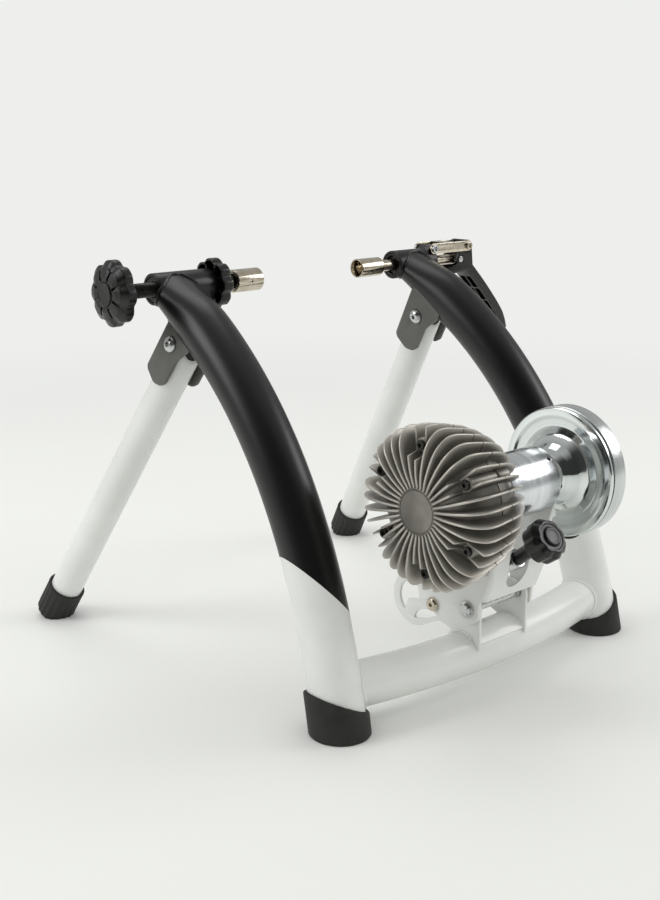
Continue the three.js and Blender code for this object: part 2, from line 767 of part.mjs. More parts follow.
function clampLever() {
  const steps = 8;
  const outline = new THREE.Shape();
  const outer = [];
  const inner = [];
  for (let k = 0; k <= steps; k += 1) {
    const share = k / steps;
    outer.push(besideHandle(share, handleHalfDepth(share)));
    inner.push(besideHandle(share, -handleHalfDepth(share)));
  }
  const tip = handleLine.getPoint(1);
  const tipAhead = handleLine.getTangent(1).multiplyScalar(leverHandleDepth / 4);
  const heelReach = 19;
  const heelDepth = 13;
  const heelHeight = 5;
  outline.setFromPoints([
    ...outer,
    new THREE.Vector2(tip.x + tipAhead.x, tip.z + tipAhead.z),
    ...inner.reverse(),
    new THREE.Vector2(plungerPinX + leverLugRadius / 2, -heelDepth - heelHeight / 3),
    new THREE.Vector2(plungerPinX - heelReach / 2, -heelDepth - heelHeight * 0.7),
    new THREE.Vector2(plungerPinX - heelReach, -heelDepth - heelHeight / 2),
    new THREE.Vector2(plungerPinX - heelReach, -heelDepth + heelHeight / 4),
    new THREE.Vector2(plungerPinX - leverLugRadius * 1.1, -leverLugRadius * 0.9),
    new THREE.Vector2(plungerPinX, 0),
  ]);
  const half = leverWidth / 2;
  const handle = sidePlate(outline, -half, half, 4);
  const linkEnd = linkPinX + linkLength;
  const lug = crossBar(leverLugRadius, plungerPinX, leverPinZ, leverWidth, roundSides);
  const topLug = crossBar(leverLugRadius, linkEnd, linkRise - 1, leverWidth, roundSides);
  const bridge = sidePlate(new THREE.Shape([
    new THREE.Vector2(plungerPinX - leverLugRadius, 0),
    new THREE.Vector2(plungerPinX, -leverLugRadius * 0.8),
    new THREE.Vector2(outer[0].x + 4, outer[0].y - 6),
    new THREE.Vector2(linkEnd + leverLugRadius, linkRise - 1),
    new THREE.Vector2(linkEnd - leverLugRadius, linkRise - 1),
  ]), -half, half, 4);
  const whole = fuse(handle, lug, topLug, bridge);
  const forkHalf = plungerDiameter / 2 + runGap;
  const fork = block(
    new THREE.Vector3(plungerPinX - cutOverrun * 2, -forkHalf, -leverLugRadius * 3),
    new THREE.Vector3(plungerPinX + leverLugRadius + runGap * 4, forkHalf, linkRise + cutOverrun));
  const pinHole = crossBar(leverPinDiameter / 2 + runGap, plungerPinX, leverPinZ, leverWidth + cutOverrun);
  const cells = [];
  const rib = 1.6;
  const firstShare = 0.12;
  const lastShare = 0.93;
  const stepShare = (lastShare - firstShare) / leverCells;
  const ribShare = rib / handleLine.getLength() / 2;
  for (let k = 0; k < leverCells; k += 1) {
    const from = firstShare + stepShare * k + ribShare;
    const to = firstShare + stepShare * (k + 1) - ribShare;
    const cell = new THREE.Shape([
      besideHandle(from, handleHalfDepth(from) - leverWall), besideHandle(to, handleHalfDepth(to) - leverWall),
      besideHandle(to, -leverHandleDepth), besideHandle(from, -leverHandleDepth),
    ]);
    cells.push(sidePlate(cell, -half + leverWall, -rib / 2, 1), sidePlate(cell, rib / 2, half - leverWall, 1));
  }
  return cut(whole, fork, pinHole, ...cells);
}

// Two plates joined by a narrow bridge on top, with a short stud riveted into each outer end
function clampLink() {
  const shape = new THREE.Shape();
  const radius = linkHeight / 2;
  const far = linkPinX + linkLength;
  shape.absarc(linkPinX, linkRise, radius, Math.PI / 2, (Math.PI * 3) / 2, false);
  shape.absarc(far, linkRise, radius, -Math.PI / 2, Math.PI / 2, false);
  shape.closePath();
  const hole = new THREE.Path();
  hole.absarc(linkPinX, linkRise, linkPinDiameter / 2 + seatGap, 0, Math.PI * 2, true);
  shape.holes.push(hole);
  const outer = linkInnerHalf + linkThickness;
  const bridge = block(
    new THREE.Vector3(linkPinX + linkLength * 0.32, -outer + linkThickness / 2, linkRise + radius - linkThickness),
    new THREE.Vector3(linkPinX + linkLength * 0.6, outer - linkThickness / 2, linkRise + radius));
  const studs = [-1, 1].map((side) => crossBar(pinHeadRadius, far, linkRise, pinHeadThickness + linkThickness / 2,
    smallSides, side * (outer + pinHeadThickness / 2 - linkThickness / 4)));
  return fuse(
    sidePlate(shape, -outer, -linkInnerHalf, 6),
    sidePlate(shape, linkInnerHalf, outer, 6), bridge, ...studs);
}

// The inner pin runs right through the plates and the ear
function linkPin() {
  const faceY = linkInnerHalf + linkThickness + seatGap;
  const head = (side) => crossBar(pinHeadRadius, linkPinX, linkRise, pinHeadThickness, smallSides,
    side * (faceY + pinHeadThickness / 2));
  return fuse(crossBar(linkPinDiameter / 2, linkPinX, linkRise, faceY * 2 + pinHeadThickness), head(-1), head(1));
}

// A leg's pivot hangs under its arch, part of the way down
function legPivot(side) {
  const { centre, upward } = archSection(archPath(side), legPivotShare);
  return centre.addScaledVector(upward, -legPivotHang);
}

// Folding legs, each built down its own -Z from the pivot with the pivot bolt along X
function legMatrix(side) {
  const pivot = legPivot(side);
  const foot = new THREE.Vector3(legFootX * side, legFootAhead, 0);
  const up = new THREE.Vector3().subVectors(pivot, foot).normalize();
  const hinge = new THREE.Vector3(pivot.z, 0, foot.x - pivot.x).normalize();
  const ahead = new THREE.Vector3().crossVectors(up, hinge);
  return new THREE.Matrix4().makeBasis(hinge, ahead, up).setPosition(pivot);
}

const legLength = legPivot(1).distanceTo(new THREE.Vector3(legFootX, legFootAhead, 0));
const legRadius = legDiameter / 2;
const legPlateInner = legRadius + legPlateGap;
const legPlateOuter = legPlateInner + legPlateThickness;

// A solid of the row frame brought into a leg's own frame
function intoLeg(geometry, side) {
  return geometry.applyMatrix4(legMatrix(side).invert());
}

function uprightBar(radius, fromZ, toZ, sides = roundSides) {
  const geometry = new THREE.CylinderGeometry(radius, radius, toZ - fromZ, sides);
  return bare(geometry.rotateX(Math.PI / 2).translate(0, 0, (fromZ + toZ) / 2));
}

// A channel open towards the arch foot; its web stops the opened leg, its plates are coped to the arch
function legBracket(side) {
  const webFrom = legRadius + legStopGap;
  const webTo = webFrom + legPlateThickness;
  const outline = new THREE.Shape([
    new THREE.Vector2(webTo, legPlateRise),
    new THREE.Vector2(-legPlateBack * 2, legPlateRise),
    new THREE.Vector2(-legPlateBack * 1.6, legPlateRise * 0.3),
    new THREE.Vector2(-legPlateBack * 1.03, -legPlateDrop * 0.14),
    new THREE.Vector2(-legPlateBack, -legPlateDrop * 0.76),
    new THREE.Vector2(-legPlateBack * 0.74, -legPlateDrop * 0.9),
    new THREE.Vector2(-legPlateBack * 0.1, -legPlateDrop),
    new THREE.Vector2(webTo * 0.7, -legPlateDrop * 0.9),
    new THREE.Vector2(webTo, -legPlateDrop * 0.78),
  ]);
  outline.holes.push(roundHole(new THREE.Vector2(), legBoltDiameter / 2 + seatGap));
  const web = block(
    new THREE.Vector3(-legPlateInner - legPlateThickness / 2, webFrom, -legPlateDrop * 0.76),
    new THREE.Vector3(legPlateInner + legPlateThickness / 2, webTo, legPlateRise));
  const whole = fuse(
    plate(outline, -legPlateOuter, -legPlateInner, 6), plate(outline, legPlateInner, legPlateOuter, 6), web);
  const arch = intoLeg(skin(archStretch(side, 0, seatGap, archSteps)), side);
  return largest(cut(whole, arch, intoLeg(overArch(side), side)));
}

// Everything on the upper side of the arch tube near the bracket
function overArch(side) {
  const nearShares = [0, 0.1, 0.2, 0.3];
  const reach = archDiameter * 2;
  const rings = nearShares.map((along) => {
    const { centre, sideways, upward } = archSection(archPath(side), along);
    return [
      centre.clone().addScaledVector(sideways, -reach), centre.clone().addScaledVector(sideways, reach),
      centre.clone().addScaledVector(sideways, reach).addScaledVector(upward, reach),
      centre.clone().addScaledVector(sideways, -reach).addScaledVector(upward, reach),
    ];
  });
  return skin(rings);
}

// The solid itself, without the loose slivers that a cut may leave
function largest(geometry) {
  const parts = toManifold(geometry).decompose();
  const biggest = parts.reduce((best, part) => (part.volume() > best.volume() ? part : best));
  return fromManifold(biggest);
}

// What the web and the arch sweep off the leg's top end while the leg folds
function foldRoom() {
  const reach = legTopReach + cutOverrun * 2;
  const top = block(new THREE.Vector3(-reach, -reach, 0), new THREE.Vector3(reach, reach, reach * 2));
  const room = [cut(top, bar(legRadius, -reach - cutOverrun, reach + cutOverrun, roundSides * 2))];
  for (let k = 1; k <= legFoldFacets; k += 1) {
    const turn = THREE.MathUtils.degToRad((legFoldDegrees * k) / legFoldFacets);
    const above = block(new THREE.Vector3(-reach, -reach, legTopReach), new THREE.Vector3(reach, reach, reach * 2));
    room.push(above.rotateX(turn));
  }
  return room;
}

function footRing(radius, z, depth) {
  const ring = [];
  const points = legFootRibs * 2;
  for (let i = 0; i < points; i += 1) {
    const angle = (2 * Math.PI * i) / points;
    const r = i % 2 === 0 ? radius : radius - depth;
    ring.push(new THREE.Vector3(r * Math.cos(angle), r * Math.sin(angle), z));
  }
  return ring;
}

function legFoot(side) {
  const radius = legFootDiameter / 2;
  const end = -legLength;
  const top = end + legFootLength;
  const rounding = legFootRounding;
  const body = skin([
    footRing(radius - rounding, end - legFootWear * 2, 0),
    footRing(radius - rounding * 0.3, end + rounding * 0.3, legFootRibDepth * 0.6),
    footRing(radius, end + rounding, legFootRibDepth),
    footRing(radius, top, legFootRibDepth),
  ]);
  const pocket = uprightBar(legRadius + seatGap, end + legFootFloor, top + cutOverrun, roundSides);
  return cut(body, pocket, intoLeg(ground(0), side));
}

function foldingLeg(side, word) {
  const leg = group(model);
  legMatrix(side).decompose(leg.position, leg.quaternion, leg.scale);
  const end = -legLength + legFootFloor + seatGap;
  const boltHole = legBoltDiameter / 2 + runGap;
  const across = bar(boltHole, -legRadius - cutOverrun, legRadius + cutOverrun);
  const room = foldRoom();
  const tube = cut(uprightBar(legRadius, end, legTopReach),
    uprightBar(legRadius - legWall, end - cutOverrun, legTopReach + cutOverrun), across, ...room);
  piece(leg, `leg_tube_${word}`, tube, whitePaint);
  piece(leg, `leg_foot_${word}`, legFoot(side), footRubber);
  const insert = uprightBar(legRadius - legWall - seatGap, legTopReach - legInsertLength, legTopReach);
  piece(leg, `leg_insert_${word}`, cut(insert, across, ...room), footRubber);
  piece(leg, `leg_bracket_${word}`, legBracket(side), bracketBlack);
  return leg;
}

// A button-head bolt with its head on one plate, and a lock nut on the far side
function legBolt(side, word) {
  const fasteners = group(model);
  legMatrix(side).decompose(fasteners.position, fasteners.quaternion, fasteners.scale);
  const shank = legBoltDiameter / 2;
  const headFrom = -legPlateOuter - seatGap;
  const reach = legPlateOuter + seatGap + legNutThickness + legBoltOverhang;
  const bolt = turned([
    [headFrom - legBoltHeadThickness, 0], [headFrom - legBoltHeadThickness, legBoltHeadRadius * 0.45],
    [headFrom - legBoltHeadThickness * 0.6, legBoltHeadRadius * 0.85], [headFrom, legBoltHeadRadius],
    [headFrom, shank], [reach, shank], [reach, 0],
  ]);
  const socket = bar(legBoltHeadRadius * 0.34, headFrom - cutOverrun, headFrom - legBoltHeadThickness * 0.35, 6);
  piece(fasteners, `leg_pivot_bolt_${word}`, cut(bolt, socket), zincSteel);
  const nutFrom = legPlateOuter + seatGap;
  piece(fasteners, `leg_pivot_nut_${word}`,
    hexNut(nutFrom, nutFrom + legNutThickness, legNutRadius, shank + seatGap, 0, 0), zincSteel);
}

// Bracket of the resistance unit, welded on the cross tube
const yokePivot = new THREE.Vector2(-yokePivotBack, yokePivotHeight);
const anchor = new THREE.Vector2(-bracketAnchorBack, bracketAnchorHeight);
const roller = new THREE.Vector2(-rollerBack, rollerHeight);
const trunnion = besideArm(trunnionShare, trunnionSetback);
const bracketOuterHalf = yokeInnerHalf - bushFlange - runGap * 2;

// A point beside the line from the yoke pivot to the roller, set back from it
function besideArm(share, setback) {
  const arm = new THREE.Vector2().subVectors(roller, yokePivot);
  const back = new THREE.Vector2(-arm.y, arm.x).normalize();
  return yokePivot.clone().addScaledVector(arm, share).addScaledVector(back, setback);
}

function roundHole(centre, radius) {
  const hole = new THREE.Path();
  hole.absarc(centre.x, centre.y, radius, 0, Math.PI * 2, true);
  return hole;
}

function bracketOutline() {
  const endMiddle = new THREE.Vector2(-bracketEndAhead, bracketEndHeight);
  const shape = new THREE.Shape();
  const lowAngle = -Math.PI * 0.62;
  const highAngle = Math.PI * 0.2;
  shape.absarc(endMiddle.x, endMiddle.y, bracketEndRadius, lowAngle, highAngle, false);
  shape.lineTo(-bracketAnchorBack, bracketAnchorHeight + bracketBossRadius);
  shape.absarc(yokePivot.x, yokePivot.y, bracketBossRadius, Math.PI * 0.42, Math.PI, false);
  shape.lineTo(-yokePivotBack - bracketBossRadius, crossTubeHeight + crossTubeDiameter * 0.3);
  shape.lineTo(-crossTubeMiddleBack + crossTubeDiameter * 0.5, crossTubeHeight + crossTubeDiameter * 0.36);
  shape.closePath();
  shape.holes.push(roundHole(yokePivot, yokePivotBolt / 2 + seatGap));
  shape.holes.push(roundHole(anchor, anchorBoltDiameter / 2 + seatGap));
  const lens = new THREE.Path();
  const lensRadius = bracketEndRadius * 0.8;
  const spokeRadius = bracketEndRadius * 0.52;
  lens.absarc(endMiddle.x, endMiddle.y, lensRadius, -Math.PI * 0.12, Math.PI * 0.12, false);
  lens.absarc(endMiddle.x, endMiddle.y, spokeRadius, Math.PI * 0.08, -Math.PI * 0.08, true);
  lens.closePath();
  const halfMoon = new THREE.Path();
  halfMoon.absarc(endMiddle.x, endMiddle.y, lensRadius, -Math.PI * 0.6, -Math.PI * 0.3, false);
  halfMoon.absarc(endMiddle.x, endMiddle.y, spokeRadius, -Math.PI * 0.36, -Math.PI * 0.52, true);
  halfMoon.closePath();
  shape.holes.push(lens, halfMoon);
  return shape;
}

function unitBracket() {
  const outline = bracketOutline();
  const sides = [-1, 1].map((side) => {
    const outerX = unitMiddleX + side * bracketOuterHalf;
    const innerX = outerX - side * bracketPlate;
    return plate(outline, Math.min(outerX, innerX), Math.max(outerX, innerX));
  });
  const webTop = yokePivotHeight - 1.5;
  const webBack = -yokePivotBack - bracketBossRadius;
  const web = block(
    new THREE.Vector3(unitMiddleX - bracketOuterHalf + bracketPlate / 2, webBack, crossTubeHeight + crossTubeDiameter * 0.3),
    new THREE.Vector3(unitMiddleX + bracketOuterHalf - bracketPlate / 2, webBack + bracketPlate, webTop));
  return cut(fuse(sides[0], sides[1], web), skin(crossTubeRings(seatGap)));
}

function hexBolt(headX, direction, headRadius, headThickness, shankRadius, shankLength, y, z) {
  const headTo = headX - direction * headThickness;
  const head = bar(headRadius, Math.min(headX, headTo), Math.max(headX, headTo), 6, y, z);
  const shankTo = headX + direction * shankLength;
  const inside = headX - direction * (headThickness / 2);
  return fuse(head, bar(shankRadius, Math.min(inside, shankTo), Math.max(inside, shankTo), smallSides, y, z));
}

function hexNut(fromX, toX, radius, boreRadius, y, z) {
  return cut(bar(radius, fromX, toX, 6, y, z),
    bar(boreRadius, fromX - cutOverrun, toX + cutOverrun, roundSides, y, z));
}

function bracketHardware() {
  const hardware = group(model);
  const pivotFace = yokeInnerHalf + yokePlate + bushFlange + runGap * 2;
  const [py, pz] = [yokePivot.x, yokePivot.y];
  piece(hardware, 'yoke_pivot_bolt', hexBolt(unitMiddleX - pivotFace, 1, yokePivotHeadRadius, hexHeadThickness,
    yokePivotBolt / 2, pivotFace * 2 + hexNutThickness + pivotBoltOverhang, py, pz), zincSteel);
  const nutFrom = unitMiddleX + pivotFace;
  piece(hardware, 'yoke_pivot_nut', hexNut(nutFrom, nutFrom + hexNutThickness, yokePivotHeadRadius,
    yokePivotBolt / 2 + seatGap, py, pz), zincSteel);
  const [ay, az] = [anchor.x, anchor.y];
  const anchorFace = bracketOuterHalf + seatGap;
  piece(hardware, 'tension_anchor_bolt', hexBolt(unitMiddleX - anchorFace, 1, anchorHeadRadius, hexHeadThickness,
    anchorBoltDiameter / 2, anchorFace * 2 + hexNutThickness, ay, az), nickel);
  const anchorNutFrom = unitMiddleX + anchorFace;
  piece(hardware, 'tension_anchor_nut', hexNut(anchorNutFrom, anchorNutFrom + hexNutThickness - pivotBoltOverhang / 2,
    anchorHeadRadius, anchorBoltDiameter / 2 + seatGap, ay, az), nickel);
}

// Yoke: two arms from the pivot to the roller shaft, joined by a web and the trunnion
function armOutline() {
  const shape = new THREE.Shape();
  const up = new THREE.Vector2().subVectors(roller, yokePivot);
  const lean = Math.atan2(up.y, up.x);
  shape.absarc(yokePivot.x, yokePivot.y, yokePivotBossRadius, lean + Math.PI * 0.62, lean - Math.PI * 0.62, false);
  const waist = trunnion.clone().lerp(roller, 0.18);
  const front = waist.clone().add(new THREE.Vector2(Math.cos(lean - Math.PI / 2), Math.sin(lean - Math.PI / 2))
    .multiplyScalar(yokeBearingBossRadius * 0.95));
  shape.lineTo(front.x, front.y);
  shape.absarc(roller.x, roller.y, yokeBearingBossRadius, lean - Math.PI * 0.55, lean + Math.PI * 0.55, false);
  const rear = waist.clone().add(new THREE.Vector2(Math.cos(lean + Math.PI / 2), Math.sin(lean + Math.PI / 2))
    .multiplyScalar(yokePivotBossRadius * 1.0));
  shape.lineTo(rear.x, rear.y);
  shape.closePath();
  return shape;
}

function yoke() {
  const bushOuter = yokePivotBolt / 2 + bushWall;
  const arms = [-1, 1].map((side) => {
    const shape = armOutline();
    shape.holes.push(roundHole(yokePivot, bushOuter + seatGap));
    shape.holes.push(roundHole(trunnion, trunnionBolt / 2 + seatGap));
    shape.holes.push(roundHole(roller, side < 0 ? shaftDiameter / 2 + 3 : bearingRadius + seatGap * 3));
    const inner = unitMiddleX + side * yokeInnerHalf;
    const outer = inner + side * yokePlate;
    return plate(shape, Math.min(inner, outer), Math.max(inner, outer));
  });
  const bossInner = unitMiddleX + yokeInnerHalf - 1.5;
  const bearingBoss = ring(yokeBearingBossRadius * 0.85, bearingRadius + seatGap,
    bossInner, bossInner + bearingWidth).translate(0, roller.x, roller.y);
  const webFront = -yokePivotBack - bracketBossRadius - seatGap * 2;
  const web = block(
    new THREE.Vector3(unitMiddleX - yokeInnerHalf - yokePlate / 2, webFront - yokePlate, yokePivotHeight + 5),
    new THREE.Vector3(unitMiddleX + yokeInnerHalf + yokePlate / 2, webFront, trunnion.y - trunnionDiameter));
  const whole = fuse(arms[0], arms[1], web, bearingBoss);
  const screws = yokeScrewPlaces().map(([y, z]) => turned(yokeScrewProfile(0), smallSides).translate(0, y, z));
  return fuse(whole, ...screws);
}

function yokeScrewPlaces() {
  const count = 3;
  const circle = (housingNeckRadius * 0.95 + bearingRadius) / 2;
  const places = [];
  for (let i = 0; i < count; i += 1) {
    const angle = (2 * Math.PI * i) / count + Math.PI / 2;
    places.push([roller.x + circle * 0.86 * Math.cos(angle), roller.y + circle * 0.86 * Math.sin(angle)]);
  }
  return places;
}

function yokeScrewProfile(growth) {
  const face = unitMiddleX - yokeInnerHalf;
  const depth = yokeScrewDepth;
  return [
    [face + growth, 0], [face + growth, yokeScrewRadius * 1.9 + growth],
    [face - yokePlate * 0.8, yokeScrewRadius + growth], [face - yokePlate - depth - growth, yokeScrewRadius + growth],
    [face - yokePlate - depth - growth, 0],
  ];
}

function yokeAssembly() {
  const unit = group(model);
  piece(unit, 'yoke', yoke(), whitePaint);
  const half = yokeInnerHalf - seatGap;
  const barrel = turned([
    [unitMiddleX - half, trunnionBolt / 2 + seatGap], [unitMiddleX - half, trunnionDiameter / 2],
    [unitMiddleX + half, trunnionDiameter / 2], [unitMiddleX + half, trunnionBolt / 2 + seatGap],
  ]).translate(0, trunnion.x, trunnion.y);
  const rodHole = tensionPlaced(alongTension(tensionRodDiameter / 2 + runGap * 3,
    trunnionReach - trunnionDiameter - cutOverrun, trunnionReach + trunnionDiameter + cutOverrun));
  const seat = tensionPlaced(alongTension(trunnionDiameter,
    trunnionReach + trunnionDiameter / 2 - trunnionFlat, trunnionReach + trunnionDiameter));
  piece(unit, 'tension_trunnion', cut(barrel, rodHole, seat), zincSteel);
  const outer = yokeInnerHalf + yokePlate + seatGap;
  for (const [side, word] of [[-1, 'left'], [1, 'right']]) {
    piece(unit, `trunnion_bolt_${word}`, hexBolt(unitMiddleX + side * outer, -side, trunnionHeadRadius,
      trunnionHeadThickness, trunnionBolt / 2, trunnionBoltReach, trunnion.x, trunnion.y), zincSteel);
  }

  const bushBody = yokePivotBolt / 2 + bushWall;
  for (const [side, word] of [[-1, 'left'], [1, 'right']]) {
    const inner = yokeInnerHalf - runGap;
    const profile = [
      [inner - bushFlange, yokePivotBolt / 2 + runGap], [inner - bushFlange, yokePivotBossRadius * 0.8],
      [inner, yokePivotBossRadius * 0.8], [inner, bushBody], [inner + yokePlate + runGap * 2 + bushFlange, bushBody],
      [inner + yokePlate + runGap * 2 + bushFlange, yokePivotBolt / 2 + runGap],
    ].map(([x, radius]) => [side * x, radius]);
    piece(unit, `yoke_bush_${word}`, turned(profile).translate(unitMiddleX, yokePivot.x, yokePivot.y), nylon);
  }
}

// Tension screw: everything along the line from the anchor bolt through the trunnion
const tensionLine = new THREE.Vector2().subVectors(trunnion, anchor);
const trunnionReach = tensionLine.length();
const trunnionFlat = 1;
const tensionAngle = Math.atan2(tensionLine.y, tensionLine.x);

function alongTension(radius, from, to, sides = roundSides) {
  return uprightBar(radius, from, to, sides);
}

// Turns a solid built up +Z into the tension line, with its start at the anchor bolt
function tensionPlaced(geometry) {
  return geometry.rotateX(tensionAngle - Math.PI / 2).translate(unitMiddleX, anchor.x, anchor.y);
}

function upTurned(profile, sides = roundSides) {
  return turned(profile, sides).rotateY(-Math.PI / 2);
}

function tensionScrew() {
  const line = group(model, unitMiddleX, anchor.x, anchor.y);
  line.rotation.x = tensionAngle - Math.PI / 2;
  const rodRadius = tensionRodDiameter / 2;
  const rodShare = 0.4;
  const eyeRootShare = 0.7;
  const washerFrom = trunnionReach + trunnionDiameter / 2 - trunnionFlat + seatGap;
  const neckFrom = washerFrom + tensionWasherThickness + seatGap;
  const knobFrom = neckFrom + tensionNeckLength;
  const knobTo = knobFrom + tensionKnobThickness;
  const rodTo = knobFrom + tensionKnobThickness * rodShare;
  const eyeHalf = bracketOuterHalf - bracketPlate - seatGap;
  const eye = fuse(bar(eyeRadius, -eyeCollar / 2, eyeCollar / 2), bar(eyeTubeRadius, -eyeHalf, eyeHalf));
  const rod = uprightBar(rodRadius, eyeRadius * eyeRootShare, rodTo, roundSides);
  piece(line, 'tension_bolt', cut(fuse(eye, rod),
    bar(anchorBoltDiameter / 2 + runGap, -eyeHalf - cutOverrun, eyeHalf + cutOverrun, smallSides)), blackSteel);
  piece(line, 'tension_washer', upTurned([
    [washerFrom, rodRadius + runGap], [washerFrom, tensionWasherRadius],
    [washerFrom + tensionWasherThickness, tensionWasherRadius], [washerFrom + tensionWasherThickness, rodRadius + runGap],
  ]), zincSteel);
  const radius = tensionKnobDiameter / 2;
  const lobes = 8;
  const lobeShare = 0.1;
  const grip = lobedKnob(radius, lobes, lobeShare, [
    [knobFrom, 0.82], [knobFrom + tensionKnobThickness * 0.15, 0.96], [knobFrom + tensionKnobThickness * 0.75, 1],
    [knobTo, 0.8],
  ]).rotateY(-Math.PI / 2);
  const neck = uprightBar(tensionNeckRadius, neckFrom, knobFrom + seatGap, roundSides);
  const bore = uprightBar(rodRadius + runGap, neckFrom - cutOverrun, rodTo + tensionRodRoom, roundSides);
  const capSeat = knobTo - tensionCapThickness / 2;
  const pocket = uprightBar(tensionCapRadius + seatGap, capSeat - seatGap, knobTo + cutOverrun);
  piece(line, 'tension_knob', cut(fuse(grip, neck), bore, pocket), blackPlastic);
  piece(line, 'tension_knob_cap', upTurned([
    [capSeat, 0], [capSeat, tensionCapRadius], [capSeat + tensionCapThickness * 0.8, tensionCapRadius],
    [capSeat + tensionCapThickness, tensionCapRadius * 0.85], [capSeat + tensionCapThickness, 0],
  ]), blackPlastic);
}

// Finned housing of the fluid unit, in the frame of the roller axis
const seamFrontX = seamX - seamGap / 2;
const seamRearX = seamX + seamGap / 2;
const faceLength = seamFrontX - hubDiscX;
const rearLength = housingRearX - seamRearX;

// Fin edge and shell between the fins: along and radius of each, as shares of the half's length and fin radius
const frontFinShares = [
  [0, 0.284, 0, 0.28], [-0.06, 0.5, 0.1, 0.34], [-0.035, 0.78, 0.18, 0.55],
  [0.14, 0.945, 0.3, 0.66], [0.42, 1, 0.5, 0.73], [1, 0.944, 1, 0.79],
];
const rearFinShares = [
  [0, 0.942, 0, 0.79], [0.34, 0.864, 0.34, 0.745], [0.7, 0.71, 0.7, 0.61], [1, 0.52, 1, 0.494],
];

// Round the axis the skin steps out over each fin and drops to the shell between fins
function finnedShell(shares, fromX, length) {
  const axis = new THREE.Vector3(1, 0, 0);
  const half = finThickness / 2;
  const rings = shares.map(([edgeShare, edgeRadiusShare, shellShare, shellRadiusShare]) => {
    const edge = [fromX + length * edgeShare, finRadius * edgeRadiusShare];
    const shell = [fromX + length * shellShare, finRadius * shellRadiusShare];
    const ring = [];
    for (let i = 0; i < finCount; i += 1) {
      const angle = (2 * Math.PI * i) / finCount;
      for (const [[x, radius], offset] of [[shell, -half], [edge, -half], [edge, half], [shell, half]]) {
        ring.push(new THREE.Vector3(x, radius, offset).applyAxisAngle(axis, angle));
      }
    }
    return ring;
  });
  return skin(rings);
}

// The front shell: hub disc, fins swept over its shoulder, and wells that clear the case screws
function frontHousing() {
  const floorX = hubDiscX + faceLength * 0.26;
  const cavityStep = 6;
  const wellRadius = bossRadius + 2.4;
  const wells = bossPlaces().map(([y, z, angle]) => {
    const lane = block(
      new THREE.Vector3(hubDiscX - cutOverrun, bossCircleRadius, -wellRadius),
      new THREE.Vector3(bossFaceX, finRadius + cutOverrun, wellRadius));
    return fuse(bar(wellRadius, hubDiscX - cutOverrun, bossFaceX, roundSides, y, z), lane.rotateX(angle));
  });
  const bosses = bossPlaces().map(([y, z]) => bar(bossRadius, bossFaceX, seamFrontX, smallSides, y, z));
  const cavity = turned([
    [floorX, 0], [floorX, housingCavityRadius * 0.85], [floorX + cavityStep, housingCavityRadius],
    [seamFrontX + cutOverrun, housingCavityRadius], [seamFrontX + cutOverrun, 0],
  ], wheelSides);
  const shell = cut(finnedShell(frontFinShares, hubDiscX, faceLength), ...wells);
  return fuse(cut(fuse(shell, ...bosses), cavity), ...caseScrews());
}

// Hexagon-socket case screws, seated in the bosses of the front shell and reaching through the seam
function caseScrews() {
  return bossPlaces().map(([y, z]) => {
    const head = bar(caseScrewHead, bossFaceX - caseScrewHead * 0.7, bossFaceX + 1, smallSides);
    const socket = bar(caseScrewHead * 0.5, bossFaceX - cutOverrun, bossFaceX - caseScrewHead * 0.3, 6);
    const shank = bar(caseScrewShank, bossFaceX, seamRearX + caseScrewDepth, smallSides);
    return cut(fuse(head, shank), socket).translate(0, y, z);
  });
}

// Each case screw's y, z and angle about the roller axis
function bossPlaces() {
  const places = [];
  for (let i = 0; i < bossCount; i += 1) {
    const angle = THREE.MathUtils.degToRad(bossPhaseDegrees) + (2 * Math.PI * i) / bossCount;
    places.push([bossCircleRadius * Math.cos(angle), bossCircleRadius * Math.sin(angle), angle]);
  }
  return places;
}

// The rear shell narrows to the neck that the yoke carries, with seats for the bearing and the seal
function rearHousing() {
  const bearingSeat = housingRearX - bearingWidth - seatGap * 2;
  const sealSeat = bearingSeat - sealWidth - seatGap;
  const shaftHole = shaftDiameter / 2 + 1.5;
  const roomDepth = 10;
  const roomFloor = sealSeat - 4;
  const bossLength = 14;
  const bosses = bossPlaces().map(([y, z]) => bar(bossRadius, seamRearX, seamRearX + bossLength, smallSides, y, z));
  const drills = bossPlaces().map(([y, z]) =>
    bar(caseScrewShank + seatGap, seamRearX - cutOverrun, seamRearX + caseScrewDepth + seatGap, smallSides, y, z));
  const screws = yokeScrewPlaces().map(([y, z]) =>
    turned(yokeScrewProfile(seatGap), smallSides).translate(0, y - roller.x, z - roller.y));
  const room = turned([
    [seamRearX - cutOverrun, 0], [seamRearX - cutOverrun, housingCavityRadius],
    [seamRearX + roomDepth, housingCavityRadius], [roomFloor, housingCavityRadius * 0.6], [roomFloor, 0],
  ], wheelSides);
  const seats = turned([
    [roomFloor - 1, 0], [roomFloor - 1, shaftHole], [sealSeat, shaftHole], [sealSeat, sealRadius + seatGap],
    [bearingSeat, sealRadius + seatGap], [bearingSeat, bearingRadius + seatGap],
    [housingRearX + cutOverrun, bearingRadius + seatGap], [housingRearX + cutOverrun, 0],
  ], roundSides);
  const shell = finnedShell(rearFinShares, seamRearX, rearLength);
  return cut(fuse(shell, ...bosses), ...drills, ...screws, room, seats);
}

